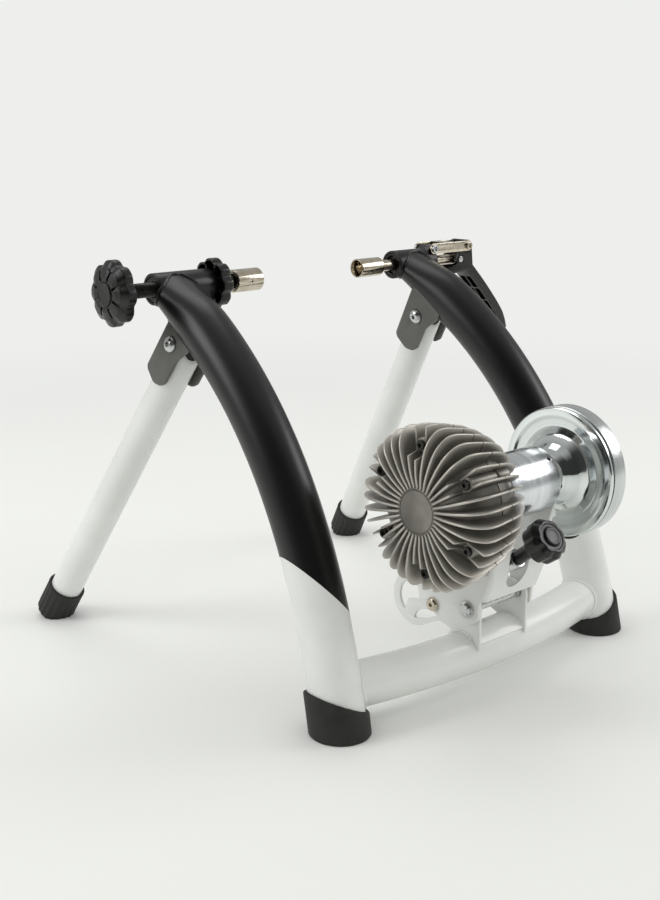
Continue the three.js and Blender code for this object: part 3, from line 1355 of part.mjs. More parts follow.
function fluidUnit() {
  const unit = group(model, 0, roller.x, roller.y);
  piece(unit, 'fluid_housing_front', frontHousing(), castAluminium);
  piece(unit, 'fluid_housing_rear', rearHousing(), castAluminium);
  const gasket = turned([
    [seamFrontX + seatGap, housingCavityRadius + 1], [seamFrontX + seatGap, housingBodyRadius - 1],
    [seamRearX - seatGap, housingBodyRadius - 1], [seamRearX - seatGap, housingCavityRadius + 1],
  ], wheelSides);
  const gasketHoles = bossPlaces().map(([y, z]) =>
    bar(caseScrewShank + seatGap, seamX - cutOverrun, seamX + cutOverrun, smallSides, y, z));
  piece(unit, 'fluid_gasket', cut(gasket, ...gasketHoles), footRubber);
  const leftSeat = housingRearX - bearingWidth - seatGap;
  const rightSeat = unitMiddleX + yokeInnerHalf - 1.5;
  for (const [x, word] of [[leftSeat, 'left'], [rightSeat, 'right']]) {
    piece(unit, `shaft_bearing_${word}`,
      ring(bearingRadius, shaftDiameter / 2 + runGap, x, x + bearingWidth), zincSteel);
  }
  const sealFrom = leftSeat - seatGap * 2 - sealWidth;
  piece(unit, 'shaft_seal', ring(sealRadius, shaftDiameter / 2 + runGap, sealFrom, sealFrom + sealWidth), footRubber);
}

// Everything that turns: roller, shaft, impeller and flywheel
function rotor() {
  const spin = group(model, 0, roller.x, roller.y);
  const shaft = shaftDiameter / 2;
  const radius = rollerDiameter / 2;
  const edge = 1;
  const drum = turned([
    [rollerLeftX, shaft + seatGap], [rollerLeftX, radius - edge], [rollerLeftX + edge, radius],
    [rollerRightX - edge, radius], [rollerRightX, radius - edge], [rollerRightX, radius - rollerRim],
    [rollerRightX - rollerRecess, radius - rollerRim - edge], [rollerRightX - rollerRecess, shaft + 6],
    [rollerRightX, shaft + 6], [rollerRightX, shaft + seatGap],
  ], wheelSides);
  const holeAngle = THREE.MathUtils.degToRad(130);
  const inset = (rollerRightX - rollerLeftX) * 0.09;
  const holes = [rollerLeftX + inset, rollerRightX - inset].map((x) =>
    bare(new THREE.CylinderGeometry(rollerHole / 2, rollerHole / 2, radius, smallSides)
      .translate(0, radius, 0).rotateX(holeAngle).translate(x, 0, 0)));
  piece(spin, 'roller', cut(drum, ...holes), turnedAluminium);
  piece(spin, 'rotor_shaft', turned([
    [shaftLeftX, 0], [shaftLeftX, shaft - edge], [shaftLeftX + edge, shaft], [shaftRightX - edge, shaft],
    [shaftRightX, shaft - edge], [shaftRightX, 0],
  ]), zincSteel);
  piece(spin, 'fluid_impeller', impeller(), castAluminium);
  piece(spin, 'flywheel_dish', flywheelDish(), brightFlywheel);
  piece(spin, 'flywheel_rim', flywheelRim(), brightFlywheel);
  const nutFrom = flywheelRearX - flywheelNutThickness / 2 + seatGap;
  piece(spin, 'flywheel_nut', hexNut(nutFrom, nutFrom + flywheelNutThickness, flywheelNutRadius, shaft + seatGap, 0, 0), zincSteel);
}

function impeller() {
  const shaft = shaftDiameter / 2;
  const left = shaftLeftX + 2;
  const right = seamRearX + 6;
  const hub = turned([
    [left, shaft + seatGap], [left, shaft + 6], [right - 4, shaft + 8], [right - 4, impellerRadius],
    [right, impellerRadius], [right, shaft + seatGap],
  ]);
  const blades = [];
  for (let i = 0; i < impellerBlades; i += 1) {
    const blade = block(
      new THREE.Vector3(left + 3, shaft + 4, -bladeThickness / 2),
      new THREE.Vector3(right - 2, impellerRadius - 2, bladeThickness / 2));
    blades.push(blade.rotateX((2 * Math.PI * i) / impellerBlades));
  }
  return fuse(hub, ...blades);
}

// Bright front plate: flat rim, hollow dish and a bell-shaped hub towards the roller
function flywheelDish() {
  const r = flywheelRadius;
  const bore = shaftDiameter / 2 + seatGap;
  const front = flywheelFrontX;
  const back = front + flywheelDishLip;
  const wall = 3.4;
  return turned([
    [flywheelHubX, bore], [flywheelHubX, r * 0.24], [flywheelHubX + 2.5, r * 0.32], [flywheelHubX + 8, r * 0.4],
    [front - 5, r * 0.47], [front + 0.6, r * 0.58], [front + 2, r * 0.72], [front + 1.4, r * 0.83],
    [front, r * 0.88], [front, r * 0.975], [front + 1.2, r * 0.995], [back - 0.6, r * 0.995], [back, r * 0.98],
    [back, r * 0.55], [front - 5 + wall, r * 0.5], [flywheelHubX + 8 + wall, r * 0.36], [back, bore + 6], [back, bore],
  ], wheelSides);
}

function flywheelRim() {
  const r = flywheelRadius;
  const bore = shaftDiameter / 2 + seatGap;
  const back = flywheelFrontX + flywheelDishLip + seatGap;
  const ringFrom = back + flywheelGroove - seatGap;
  const rear = flywheelRearX;
  return turned([
    [back, bore], [back, r * 0.94], [ringFrom, r * 0.94], [ringFrom, r * 0.99], [ringFrom + 0.8, r],
    [rear - 0.8, r], [rear, r * 0.985], [rear, r * 0.8], [rear - 8, r * 0.76], [rear - 8, bore + 12],
    [rear - flywheelNutThickness / 2, bore + 8], [rear - flywheelNutThickness / 2, bore],
  ], wheelSides);
}

frameTubes();
screwClamp();
leverClamp();
foldingLeg(-1, 'left');
foldingLeg(1, 'right');
legBolt(-1, 'left');
legBolt(1, 'right');
const bracketGroup = group(model);
piece(bracketGroup, 'unit_bracket', unitBracket(), whitePaint);
bracketHardware();
yokeAssembly();
tensionScrew();
fluidUnit();
rotor();

// The origin is on the floor under the middle of the whole part
model.updateMatrixWorld(true);
const bounds = new THREE.Box3().setFromObject(model, true);
model.position.set(-(bounds.min.x + bounds.max.x) / 2, -(bounds.min.y + bounds.max.y) / 2, -bounds.min.z);

export default model;
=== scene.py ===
import json
import math
import bmesh
import bpy
from mathutils import Matrix, Vector


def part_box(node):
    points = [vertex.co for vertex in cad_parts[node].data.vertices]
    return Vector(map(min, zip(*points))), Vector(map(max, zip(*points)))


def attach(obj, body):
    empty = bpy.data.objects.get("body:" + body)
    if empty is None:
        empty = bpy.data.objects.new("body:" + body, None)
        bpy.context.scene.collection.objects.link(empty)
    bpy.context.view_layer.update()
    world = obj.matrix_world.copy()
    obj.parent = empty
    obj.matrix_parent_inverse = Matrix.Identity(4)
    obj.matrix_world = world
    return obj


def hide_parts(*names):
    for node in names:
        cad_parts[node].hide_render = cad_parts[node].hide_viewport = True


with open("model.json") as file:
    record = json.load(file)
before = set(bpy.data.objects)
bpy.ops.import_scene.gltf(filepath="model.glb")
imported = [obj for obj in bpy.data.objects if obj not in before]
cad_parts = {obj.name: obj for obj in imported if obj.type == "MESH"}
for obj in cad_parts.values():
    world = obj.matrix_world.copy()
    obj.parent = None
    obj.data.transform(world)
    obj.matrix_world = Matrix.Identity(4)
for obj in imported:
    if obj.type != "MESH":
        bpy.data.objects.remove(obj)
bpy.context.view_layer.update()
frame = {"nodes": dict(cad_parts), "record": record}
print("trainer frame loaded")

scene = bpy.context.scene
scene.view_settings.view_transform = "Standard"

# Sizes below are in stand millimetres, X along the wheel's axle and Z up from the floor
mm = 0.001
housingEnd = 193.4
housingLow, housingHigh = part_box("screw_housing")
datum = Vector((housingLow.x + housingEnd * mm, (housingLow.y + housingHigh.y) / 2, 0))
toFrame = Matrix.Translation(datum) @ Matrix.Scale(mm, 4)
rollerSpot = (-308.0, 206.6)
unmoved = Matrix.Identity(4)
axle = Matrix.Translation((0, 0, 380))
rollerAxis = Matrix.Translation((0, *rollerSpot))


# Node helpers

def linear(*levels):
    # a colour as read off a screen, 0 to 255, made scene-linear
    return tuple(((v / 255 + 0.055) / 1.055) ** 2.4 if v > 10 else v / 255 / 12.92 for v in levels) + (1,)


def feed(tree, socket, value):
    # a link from another socket, or a plain value
    if isinstance(value, bpy.types.NodeSocket):
        tree.links.new(value, socket)
    else:
        socket.default_value = value


def node(tree, kind, links=None, **settings):
    made = tree.nodes.new(kind)
    for key, value in settings.items():
        setattr(made, key, value)
    for socket, value in (links or {}).items():
        feed(tree, made.inputs[socket], value)
    return made


def groupTree(name, inputs, outputs):
    # inputs as (label, start value), where None means a vector; the outputs are plain numbers
    tree = bpy.data.node_groups.new(name, "ShaderNodeTree")
    for label, value in inputs:
        kind = "NodeSocketVector" if value is None else "NodeSocketFloat"
        socket = tree.interface.new_socket(name=label, in_out="INPUT", socket_type=kind)
        if value is not None:
            socket.default_value = value
    for label in outputs:
        tree.interface.new_socket(name=label, in_out="OUTPUT", socket_type="NodeSocketFloat")
    return tree, tree.nodes.new("NodeGroupInput").outputs, tree.nodes.new("NodeGroupOutput").inputs


def mixColours(tree, factor, first, second):
    mix = node(tree, "ShaderNodeMix", data_type="RGBA")
    for index, value in ((0, factor), (6, first), (7, second)):
        feed(tree, mix.inputs[index], value)
    return mix.outputs[2]


def span(tree, value, fromLow, fromHigh, toLow, toHigh, smooth=False):
    made = node(tree, "ShaderNodeMapRange", {0: value, 1: fromLow, 2: fromHigh, 3: toLow, 4: toHigh})
    made.interpolation_type = "SMOOTHSTEP" if smooth else "LINEAR"
    return made.outputs[0]


def noise(tree, vector, scale, detail=2.0, roughness=0.5):
    # scale is a number, or a socket that holds a grain size in millimetres
    if isinstance(scale, bpy.types.NodeSocket):
        scale = node(tree, "ShaderNodeMath", {0: 1000.0, 1: scale}, operation="DIVIDE").outputs[0]
    return node(tree, "ShaderNodeTexNoise", {"Vector": vector, "Scale": scale, "Detail": detail,
                                             "Roughness": roughness}).outputs[0]


# Fine grain and broad mottling, for paint, castings, rubber and plastic
grainTree, given, result = groupTree("surfaceGrain", [("Vector", None), ("Grain Size", 1.0),
                                                      ("Mottle Size", 20.0)], ["Height", "Mottle"])
fine = noise(grainTree, given["Vector"], given["Grain Size"], 3.0, 0.6)
broad = noise(grainTree, given["Vector"], given["Mottle Size"])
feed(grainTree, result["Height"], fine)
feed(grainTree, result["Mottle"], span(grainTree, broad, 0.3, 0.7, 0.0, 1.0))

# Lathe lines about an axis along X through the given point: fine rings that follow the turned form
latheTree, given, result = groupTree("latheLines", [("Vector", None), ("Centre", None), ("Pitch", 0.3)],
                                     ["Height", "Streak"])
offset = node(latheTree, "ShaderNodeVectorMath", {0: given["Vector"], 1: given["Centre"]},
              operation="SUBTRACT")
parts = node(latheTree, "ShaderNodeSeparateXYZ", {0: offset.outputs[0]})
flat = node(latheTree, "ShaderNodeCombineXYZ", {1: parts.outputs[1], 2: parts.outputs[2]})
radius = node(latheTree, "ShaderNodeVectorMath", {0: flat.outputs[0]}, operation="LENGTH")
along = node(latheTree, "ShaderNodeCombineXYZ", {0: parts.outputs[0], 1: radius.outputs["Value"]})
rings = noise(latheTree, along.outputs[0], given["Pitch"], 2.0, 0.7)
slow = noise(latheTree, along.outputs[0], 180.0)
feed(latheTree, result["Height"], rings)
feed(latheTree, result["Streak"], span(latheTree, slow, 0.3, 0.7, 0.0, 1.0))


def startMaterial(name, metallic=0.0, roughness=0.5, specular=0.5):
    material = bpy.data.materials.new(name)
    material.use_nodes = True
    tree = material.node_tree
    shader = tree.nodes["Principled BSDF"]
    shader.inputs["Metallic"].default_value = metallic
    shader.inputs["Roughness"].default_value = roughness
    shader.inputs["Specular IOR Level"].default_value = specular
    return material, tree, shader.inputs


def usePattern(tree, shader, group, sizes, strength, depth):
    # bump from a pattern group's height; its second output is handed back
    pattern = tree.nodes.new("ShaderNodeGroup")
    pattern.node_tree = group
    for label, value in sizes.items():
        pattern.inputs[label].default_value = value
    place = node(tree, "ShaderNodeTexCoord")
    feed(tree, pattern.inputs["Vector"], place.outputs["Object"])
    bump = node(tree, "ShaderNodeBump", {"Height": pattern.outputs["Height"], "Strength": strength,
                                         "Distance": depth})
    feed(tree, shader["Normal"], bump.outputs[0])
    return pattern.outputs[1]


def surface(name, dark, light, rough, group, sizes, strength, depth, **shading):
    material, tree, shader = startMaterial(name, **shading)
    shade = usePattern(tree, shader, group, sizes, strength, depth)
    feed(tree, shader["Base Color"], mixColours(tree, shade, linear(*dark), linear(*light)))
    feed(tree, shader["Roughness"], span(tree, shade, 0, 1, *rough))
    return material


def grained(name, dark, light, rough, grainSize, mottleSize, strength, depth, **shading):
    sizes = {"Grain Size": grainSize, "Mottle Size": mottleSize}
    return surface(name, dark, light, rough, grainTree, sizes, strength, depth, **shading)


def lathed(name, dark, light, rough, about, pitch, strength, depth):
    sizes = {"Pitch": pitch, "Centre": toFrame @ about.translation}
    return surface(name, dark, light, rough, latheTree, sizes, strength, depth, metallic=1.0)


# Finishes, as dark and light colour, roughness, pattern sizes, bump strength and depth

paint = {"black": ((10, 10, 10), (14, 14, 14)), "white": ((224, 225, 222), (231, 232, 229)), "peel": 1.6,
         "mottle": 45.0}
finishes = {
    "satin_black": grained("satinBlackPaint", *paint["black"], (0.32, 0.38), paint["peel"], paint["mottle"],
                           0.06, 0.0004),
    "white_paint": grained("whitePaint", *paint["white"], (0.2, 0.26), paint["peel"], 60.0, 0.04, 0.0004),
    "bracket_black": grained("bracketPaint", (84, 85, 81), (95, 96, 91), (0.38, 0.45), 1.2, 30.0, 0.08,
                             0.0004, metallic=0.25),
    "foot_rubber": grained("footRubber", (36, 37, 35), (46, 47, 44), (0.55, 0.7), 0.9, 12.0, 0.2, 0.0003,
                           specular=0.35),
    "black_plastic": grained("blackPlastic", (13, 13, 12), (19, 19, 18), (0.26, 0.36), 0.7, 9.0, 0.16,
                             0.0002),
    "nylon": grained("nylonBush", (214, 209, 196), (224, 220, 208), (0.5, 0.6), 0.8, 10.0, 0.1, 0.0002),
    "zinc_steel": grained("zincSteel", (188, 190, 190), (212, 213, 212), (0.2, 0.32), 0.5, 4.0, 0.12, 0.0001,
                          metallic=1.0),
    "black_steel": grained("blackSteel", (52, 52, 50), (74, 73, 70), (0.28, 0.4), 0.5, 5.0, 0.12, 0.0001,
                           metallic=0.9),
    "cast_aluminium": grained("castAluminium", (126, 123, 116), (144, 140, 133), (0.32, 0.42), 1.0, 14.0,
                              0.28, 0.0004, metallic=0.55),
    "nickel": lathed("nickelPlate", (192, 182, 165), (214, 205, 189), (0.12, 0.2), axle, 0.5, 0.08, 0.0002),
    "turned_aluminium": lathed("rollerAluminium", (212, 215, 218), (230, 233, 236), (0.17, 0.26), rollerAxis,
                               0.35, 0.1, 0.0002),
    "flywheel_plate": lathed("flywheelPlate", (210, 215, 215), (230, 234, 233), (0.07, 0.13), rollerAxis, 0.8,
                             0.05, 0.0002),
}
rimMetal = lathed("flywheelRim", (196, 200, 200), (224, 227, 226), (0.2, 0.32), rollerAxis, 0.4, 0.2, 0.0003)
blackSteel = finishes["black_steel"]


def splitPaint():
    # black above the paint line and white below it, from the mesh's own distance to that line
    material, tree, shader = startMaterial("archPaint")
    sizes = {"Grain Size": paint["peel"], "Mottle Size": paint["mottle"]}
    mottle = usePattern(tree, shader, grainTree, sizes, 0.05, 0.0004)
    line = node(tree, "ShaderNodeAttribute", attribute_name="paintSplit")
    isBlack = span(tree, line.outputs["Fac"], -0.12, 0.12, 0.0, 1.0)
    black = mixColours(tree, mottle, *[linear(*colour) for colour in paint["black"]])
    white = mixColours(tree, mottle, *[linear(*colour) for colour in paint["white"]])
    feed(tree, shader["Base Color"], mixColours(tree, isBlack, white, black))
    feed(tree, shader["Roughness"], span(tree, isBlack, 0, 1, 0.23, 0.35))
    return material


def paintRimHighlight(material):
    # painted highlight: the fins' own edge value makes their rims a little lighter, as where light catches
    # them, so the hollows between the fins read darker
    tree = material.node_tree
    colour = tree.nodes["Principled BSDF"].inputs["Base Color"]
    base = colour.links[0].from_socket
    rim = node(tree, "ShaderNodeAttribute", attribute_name="finEdge")
    rimHighlight = span(tree, rim.outputs["Fac"], 0.55, 1.0, 0.0, 0.75, smooth=True)
    feed(tree, colour, mixColours(tree, rimHighlight, base, linear(208, 203, 195)))


archPaint = splitPaint()
# painted highlight on the rims of the cast aluminium fins
paintRimHighlight(finishes["cast_aluminium"])
print("finishes made:", len(finishes))


# Mesh helpers

def rounded(corners, steps=5, closed=True):
    # corners as (x, y, fillet radius); each fillet becomes a short arc
    points = []
    count = len(corners)
    for i, (x, y, fillet) in enumerate(corners):
        here = Vector((x, y))
        atEnd = not closed and i in (0, count - 1)
        if fillet <= 0 or atEnd:
            points.append(here)
            continue
        before = Vector(corners[i - 1][:2]) - here
        after = Vector(corners[(i + 1) % count][:2]) - here
        half = before.angle(after) / 2
        if half > math.radians(88):
            points.append(here)
            continue
        reach = min(fillet / math.tan(half), before.length * 0.49, after.length * 0.49)
        radius = reach * math.tan(half)
        middle = here + (before.normalized() + after.normalized()).normalized() * (radius / math.sin(half))
        start = here + before.normalized() * reach - middle
        end = here + after.normalized() * reach - middle
        turn = start.angle_signed(end)
        for k in range(steps + 1):
            angle = -turn * k / steps
            points.append(middle + Vector((start.x * math.cos(angle) - start.y * math.sin(angle),
                                           start.x * math.sin(angle) + start.y * math.cos(angle))))
    return points


def around(count):
    return [2 * math.pi * i / count for i in range(count)]


def circle(x, y, radius, count=32):
    return [(x + radius * math.cos(a), y + radius * math.sin(a)) for a in around(count)]


def grid(bm, rows, closedRows=False):
    # quads over rings of vertices; a ring of one vertex is a pole
    made = [[bm.verts.new(p) for p in row] for row in rows]
    pairs = list(zip(made, made[1:])) + ([(made[-1], made[0])] if closedRows else [])
    for first, second in pairs:
        count = max(len(first), len(second))
        for i in range(count):
            j = (i + 1) % count
            corners = []
            for vert in (first[i % len(first)], first[j % len(first)], second[j % len(second)],
                         second[i % len(second)]):
                if vert not in corners:
                    corners.append(vert)
            if len(corners) > 2:
                bm.faces.new(corners)
    return made


def capped(bm, rows):
    made = grid(bm, rows)
    bm.faces.new(made[0])
    bm.faces.new(made[-1])
    return bm


def turnRows(profile, place, sides):
    # rings about the X axis from (x, reach); a reach may depend on the angle, and one of nothing is a pole
    rows = []
    for x, reach in profile:
        if not callable(reach) and reach < 1e-6:
            rows.append([place @ Vector((x, 0, 0))])
            continue
        row = []
        for angle in around(sides):
            r = reach(angle) if callable(reach) else reach
            row.append(place @ Vector((x, r * math.cos(angle), r * math.sin(angle))))
        rows.append(row)
    return rows


def spin(bm, profile, sides=64, place=unmoved, closed=False):
    grid(bm, turnRows(profile, place, sides), closed)
    return bm


def turned(bm, corners, place, sides, steps=4, closed=True):
    # a turned ring with filleted corners, or a form that meets its axis when it isn't closed
    return spin(bm, rounded(corners, steps, closed), sides, place, closed)


def sleeve(bm, fromX, toX, bore, outer, boreEdge, outerEdge, place, sides, steps=3):
    corners = [(fromX, bore, boreEdge), (fromX, outer, outerEdge), (toX, outer, outerEdge),
               (toX, bore, boreEdge)]
    return turned(bm, corners, place, sides, steps)


def bar(bm, radius, fromX, toX, place=unmoved, sides=48, edge=0.4):
    corners = [(fromX, 0, 0), (fromX, radius, edge), (toX, radius, edge), (toX, 0, 0)]
    return turned(bm, corners, place, sides, 3, False)


def drill(radius, fromX, toX, place, sides=32):
    return bar(bmesh.new(), radius, fromX, toX, place, sides, 0)


def hexReach(radius, angle):
    # from a hexagon's middle to its edge
    side = (angle + math.pi / 6) % (math.pi / 3) - math.pi / 6
    return radius * math.cos(math.pi / 6) / math.cos(side)


def hexBar(bm, radius, fromX, toX, place=unmoved, edge=0.5, bore=0.0):
    # a hexagon whose corners are turned off on both faces; a bore makes it a nut
    low = radius - edge * 2
    corners = [(fromX, low), (fromX + edge, radius), (toX - edge, radius), (toX, low)]
    sides = [(x, lambda a, r=r: min(r, hexReach(radius, a))) for x, r in corners]
    return spin(bm, [(fromX, bore), *sides, (toX, bore)], 48, place, bore > 0)


def screwHead(bm, profile, mouthX, floorX, hexRadius, place=unmoved, sides=48):
    # a turned head from pairs of (x, radius) that ends in a hexagonal socket
    def socket(angle):
        return hexReach(hexRadius, angle)

    return spin(bm, [*profile, (mouthX, socket), (floorX, socket), (floorX, 0)], sides, place)


def lobed(bm, corners, steps, lobes, depth, inner, place, closed=False):
    # a turned form whose radius dips between its lobes; nothing dips within the inner radius
    def dipped(radius):
        if radius < 1e-6:
            return 0
        share = depth * min(max((radius - inner) / 6, 0), 1)
        return lambda angle: radius * (1 - share * ((1 - math.cos(lobes * angle)) / 2) ** 2)

    profile = [(x, dipped(r)) for x, r in rounded(corners, steps, closed)]
    return spin(bm, profile, 192, place, closed)


def block(bm, low, high, place):
    size = Vector(high) - Vector(low)
    middle = (Vector(high) + Vector(low)) / 2
    for vert in bmesh.ops.create_cube(bm, size=1.0)["verts"]:
        vert.co = place @ (Vector((vert.co.x * size.x, vert.co.y * size.y, vert.co.z * size.z)) + middle)
    return bm


def fromMesh(mesh):
    bm = bmesh.new()
    bm.from_mesh(mesh)
    return bm


def welded(bm):
    bmesh.ops.remove_doubles(bm, verts=bm.verts, dist=0.0005)
    return bm


def asMesh(shape):
    if isinstance(shape, bpy.types.Mesh):
        return shape
    bmesh.ops.recalc_face_normals(welded(shape), faces=shape.faces)
    mesh = bpy.data.meshes.new("part")
    shape.to_mesh(mesh)
    shape.free()
    return mesh


def hold(name, data):
    made = bpy.data.objects.new(name, data)
    scene.collection.objects.link(made)
    return made


def settle(held):
    # the mesh that an object's modifiers make of it; the object itself goes
    bpy.context.view_layer.update()
    made = bpy.data.meshes.new_from_object(held.evaluated_get(bpy.context.evaluated_depsgraph_get()))
    bpy.data.objects.remove(held)
    return made


def flatPlate(bm, loops, fromDepth, toDepth, place, edge=0.35):
    # a plate with holes from 2D loops: the first is the outline; place carries (x, y, depth) to the stand
    curve = bpy.data.curves.new("outline", "CURVE")
    curve.dimensions = "2D"
    curve.fill_mode = "BOTH"
    curve.extrude = (toDepth - fromDepth) / 2 - edge
    curve.bevel_depth = edge
    curve.bevel_resolution = 1
    curve.offset = -edge
    for loop in loops:
        spline = curve.splines.new("POLY")
        spline.points.add(len(loop) - 1)
        for point, (x, y) in zip(spline.points, loop):
            point.co = (x, y, 0, 1)
        spline.use_cyclic_u = True
    mesh = settle(hold("outline", curve))
    bpy.data.curves.remove(curve)
    mesh.transform(place @ Matrix.Translation((0, 0, (fromDepth + toDepth) / 2)))
    bm.from_mesh(mesh)
    bpy.data.meshes.remove(mesh)
    return bm


def combine(shape, other, operation):
    # an exact difference, meeting or union of two closed forms
    target = hold("target", asMesh(shape))
    tool = hold("tool", asMesh(other))
    change = target.modifiers.new("cut", "BOOLEAN")
    change.operation = operation
    change.solver = "EXACT"
    change.object = tool
    made = settle(target)
    bpy.data.objects.remove(tool)
    return made


def cutAway(shape, *cutters):
    for cutter in cutters:
        shape = combine(shape, cutter, "DIFFERENCE")
    return shape


def softEdges(mesh, width, degrees=35):
    # small rounds on a cut form's hard edges
    holder = hold("hard", mesh)
    change = holder.modifiers.new("round", "BEVEL")
    change.width = width
    change.segments = 2
    change.limit_method = "ANGLE"
    change.angle_limit = math.radians(degrees)
    return settle(holder)


def finishPiece(name, shape, body, slot, finish=None, sharp=35, attribute=None, stands=None):
    # a shape in stand millimetres becomes one shaded piece, for the solid of its own name unless told
    bm = welded(fromMesh(shape) if isinstance(shape, bpy.types.Mesh) else shape)
    bmesh.ops.dissolve_degenerate(bm, edges=bm.edges, dist=0.0002)
    bmesh.ops.recalc_face_normals(bm, faces=bm.faces)
    limit = math.radians(sharp)
    for face in bm.faces:
        face.smooth = True
        face.material_index = 0
    for edge in bm.edges:
        edge.smooth = len(edge.link_faces) != 2 or edge.calc_face_angle(0) < limit
    if attribute:
        label, value = attribute
        layer = bm.verts.layers.float.get(label) or bm.verts.layers.float.new(label)
        for vert in bm.verts:
            vert[layer] = value(vert.co)
    mesh = bpy.data.meshes.new(name)
    bm.to_mesh(mesh)
    bm.free()
    mesh.transform(toFrame)
    mesh.materials.clear()
    mesh.materials.append(finish or finishes[slot])
    piece = hold(name, mesh)
    if stands is None:
        stands = [name.replace("-", "_")]
    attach(piece, body)
    if stands:
        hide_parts(*stands)


# Repeated forms

def ringTree():
    # copies of the incoming form, turned evenly about the X axis
    tree = bpy.data.node_groups.new("ringOfCopies", "GeometryNodeTree")
    sockets = {}
    for label, kind in (("Geometry", "NodeSocketGeometry"), ("Copies", "NodeSocketInt"),
                        ("First Angle", "NodeSocketFloat")):
        sockets[label] = tree.interface.new_socket(name=label, in_out="INPUT", socket_type=kind).identifier
    tree.interface.new_socket(name="Geometry", in_out="OUTPUT", socket_type="NodeSocketGeometry")
    given = tree.nodes.new("NodeGroupInput").outputs
    points = node(tree, "GeometryNodeMeshLine", {"Count": given["Copies"], "Offset": (0, 0, 0)})
    number = node(tree, "GeometryNodeInputIndex")
    step = node(tree, "ShaderNodeMath", {0: 2 * math.pi, 1: given["Copies"]}, operation="DIVIDE")
    angle = node(tree, "ShaderNodeMath", {0: number.outputs[0], 1: step.outputs[0], 2: given["First Angle"]},
                 operation="MULTIPLY_ADD")
    turn = node(tree, "ShaderNodeCombineXYZ", {0: angle.outputs[0]})
    copies = node(tree, "GeometryNodeInstanceOnPoints", {"Points": points.outputs[0],
                                                         "Instance": given["Geometry"],
                                                         "Rotation": turn.outputs[0]})
    solid = node(tree, "GeometryNodeRealizeInstances", {0: copies.outputs[0]})
    joined = node(tree, "GeometryNodeMergeByDistance", {"Geometry": solid.outputs[0], "Distance": 0.0})
    feed(tree, tree.nodes.new("NodeGroupOutput").inputs[0], joined.outputs[0])
    return tree, sockets


copiesTree, copiesSockets = ringTree()


def ringOf(shape, copies, firstAngle=0.0, place=unmoved):
    holder = hold("single", asMesh(shape))
    change = holder.modifiers.new("ring", "NODES")
    change.node_group = copiesTree
    change[copiesSockets["Copies"]] = copies
    change[copiesSockets["First Angle"]] = firstAngle
    made = settle(holder)
    made.transform(place)
    return made


def through(points, steps):
    # an even line through points of any size
    line = []
    for k in range(len(points) - 1):
        a, b, c = points[max(k - 1, 0)], points[k], points[k + 1]
        d = points[min(k + 2, len(points) - 1)]
        for i in range(steps):
            t = i / steps
            line.append((b * 2 + (c - a) * t + (a * 2 - b * 5 + c * 4 - d) * t * t
                         + (b * 3 - a - c * 3 + d) * t ** 3) / 2)
    return line + [points[-1]]


# Arches, cross tube and their rubber feet

arch = {
    "topX": 170.5, "footX": 191.5, "top": 380.0, "footBack": 272.0,
    "upperHandle": (109.0, 326.0), "lowerHandle": (228.0, 228.0),
    "radius": 25.4, "crimpWide": 27.0, "crimpDeep": 16.0, "crimpLength": 75.0,
    "splitPoint": (195.1, -245.3, 137.2), "splitNormal": (0.7228, -0.1144, 0.6815),
    "bite": 15.4, "shortBy": 6, "weldBead": 1.7, "sides": 64, "steps": 72,
}


class Path:
    # a cubic curve walked by its arc length, carried straight on past its end
    def __init__(self, side):
        spread = arch["footX"] - arch["topX"]
        corners = [(arch["topX"], 0, arch["top"]),
                   (arch["topX"] + spread / 3, -arch["upperHandle"][0], arch["upperHandle"][1]),
                   (arch["topX"] + spread * 2 / 3, -arch["lowerHandle"][0], arch["lowerHandle"][1]),
                   (arch["footX"], -arch["footBack"], 0)]
        self.corners = [Vector((x * side, y, z)) for x, y, z in corners]
        self.lengths = [0.0]
        last = self.raw(0)
        for k in range(1, 401):
            here = self.raw(k / 400)
            self.lengths.append(self.lengths[-1] + (here - last).length)
            last = here
        self.length = self.lengths[-1]

    def raw(self, t):
        a, b, c, d = self.corners
        return a * (1 - t) ** 3 + b * 3 * t * (1 - t) ** 2 + c * 3 * t * t * (1 - t) + d * t ** 3

    def section(self, distance):
        # centre, tangent, sideways and upward directions at a distance down the tube
        held = min(max(distance, 0.0), self.length)
        k = 0
        while k < 399 and self.lengths[k + 1] < held:
            k += 1
        t = (k + (held - self.lengths[k]) / (self.lengths[k + 1] - self.lengths[k])) / 400
        a, b, c, d = self.corners
        tangent = ((b - a) * (1 - t) ** 2 + (c - b) * 2 * t * (1 - t) + (d - c) * t * t).normalized()
        centre = self.raw(t) + tangent * (distance - held)
        sideways = (Vector((1, 0, 0)) - tangent * tangent.x).normalized()
        upward = sideways.cross(tangent)
        if upward.z < 0:
            upward.negate()
        return centre, tangent, sideways, upward

    def surface(self, distance, angle, growth=0.0):
        centre, _, sideways, upward = self.section(distance)
        wide, deep = crimped(distance)
        wide += growth
        deep += growth
        return centre + sideways * wide * math.cos(angle) + upward * deep * math.sin(angle)


def crimped(distance):
    # the tube's half width and half height, pressed flatter towards its top end
    share = min(max(distance / arch["crimpLength"], 0), 1)
    share = share * share * (3 - 2 * share)
    return [arch[way] + (arch["radius"] - arch[way]) * share for way in ("crimpWide", "crimpDeep")]


paths = {-1: Path(-1), 1: Path(1)}


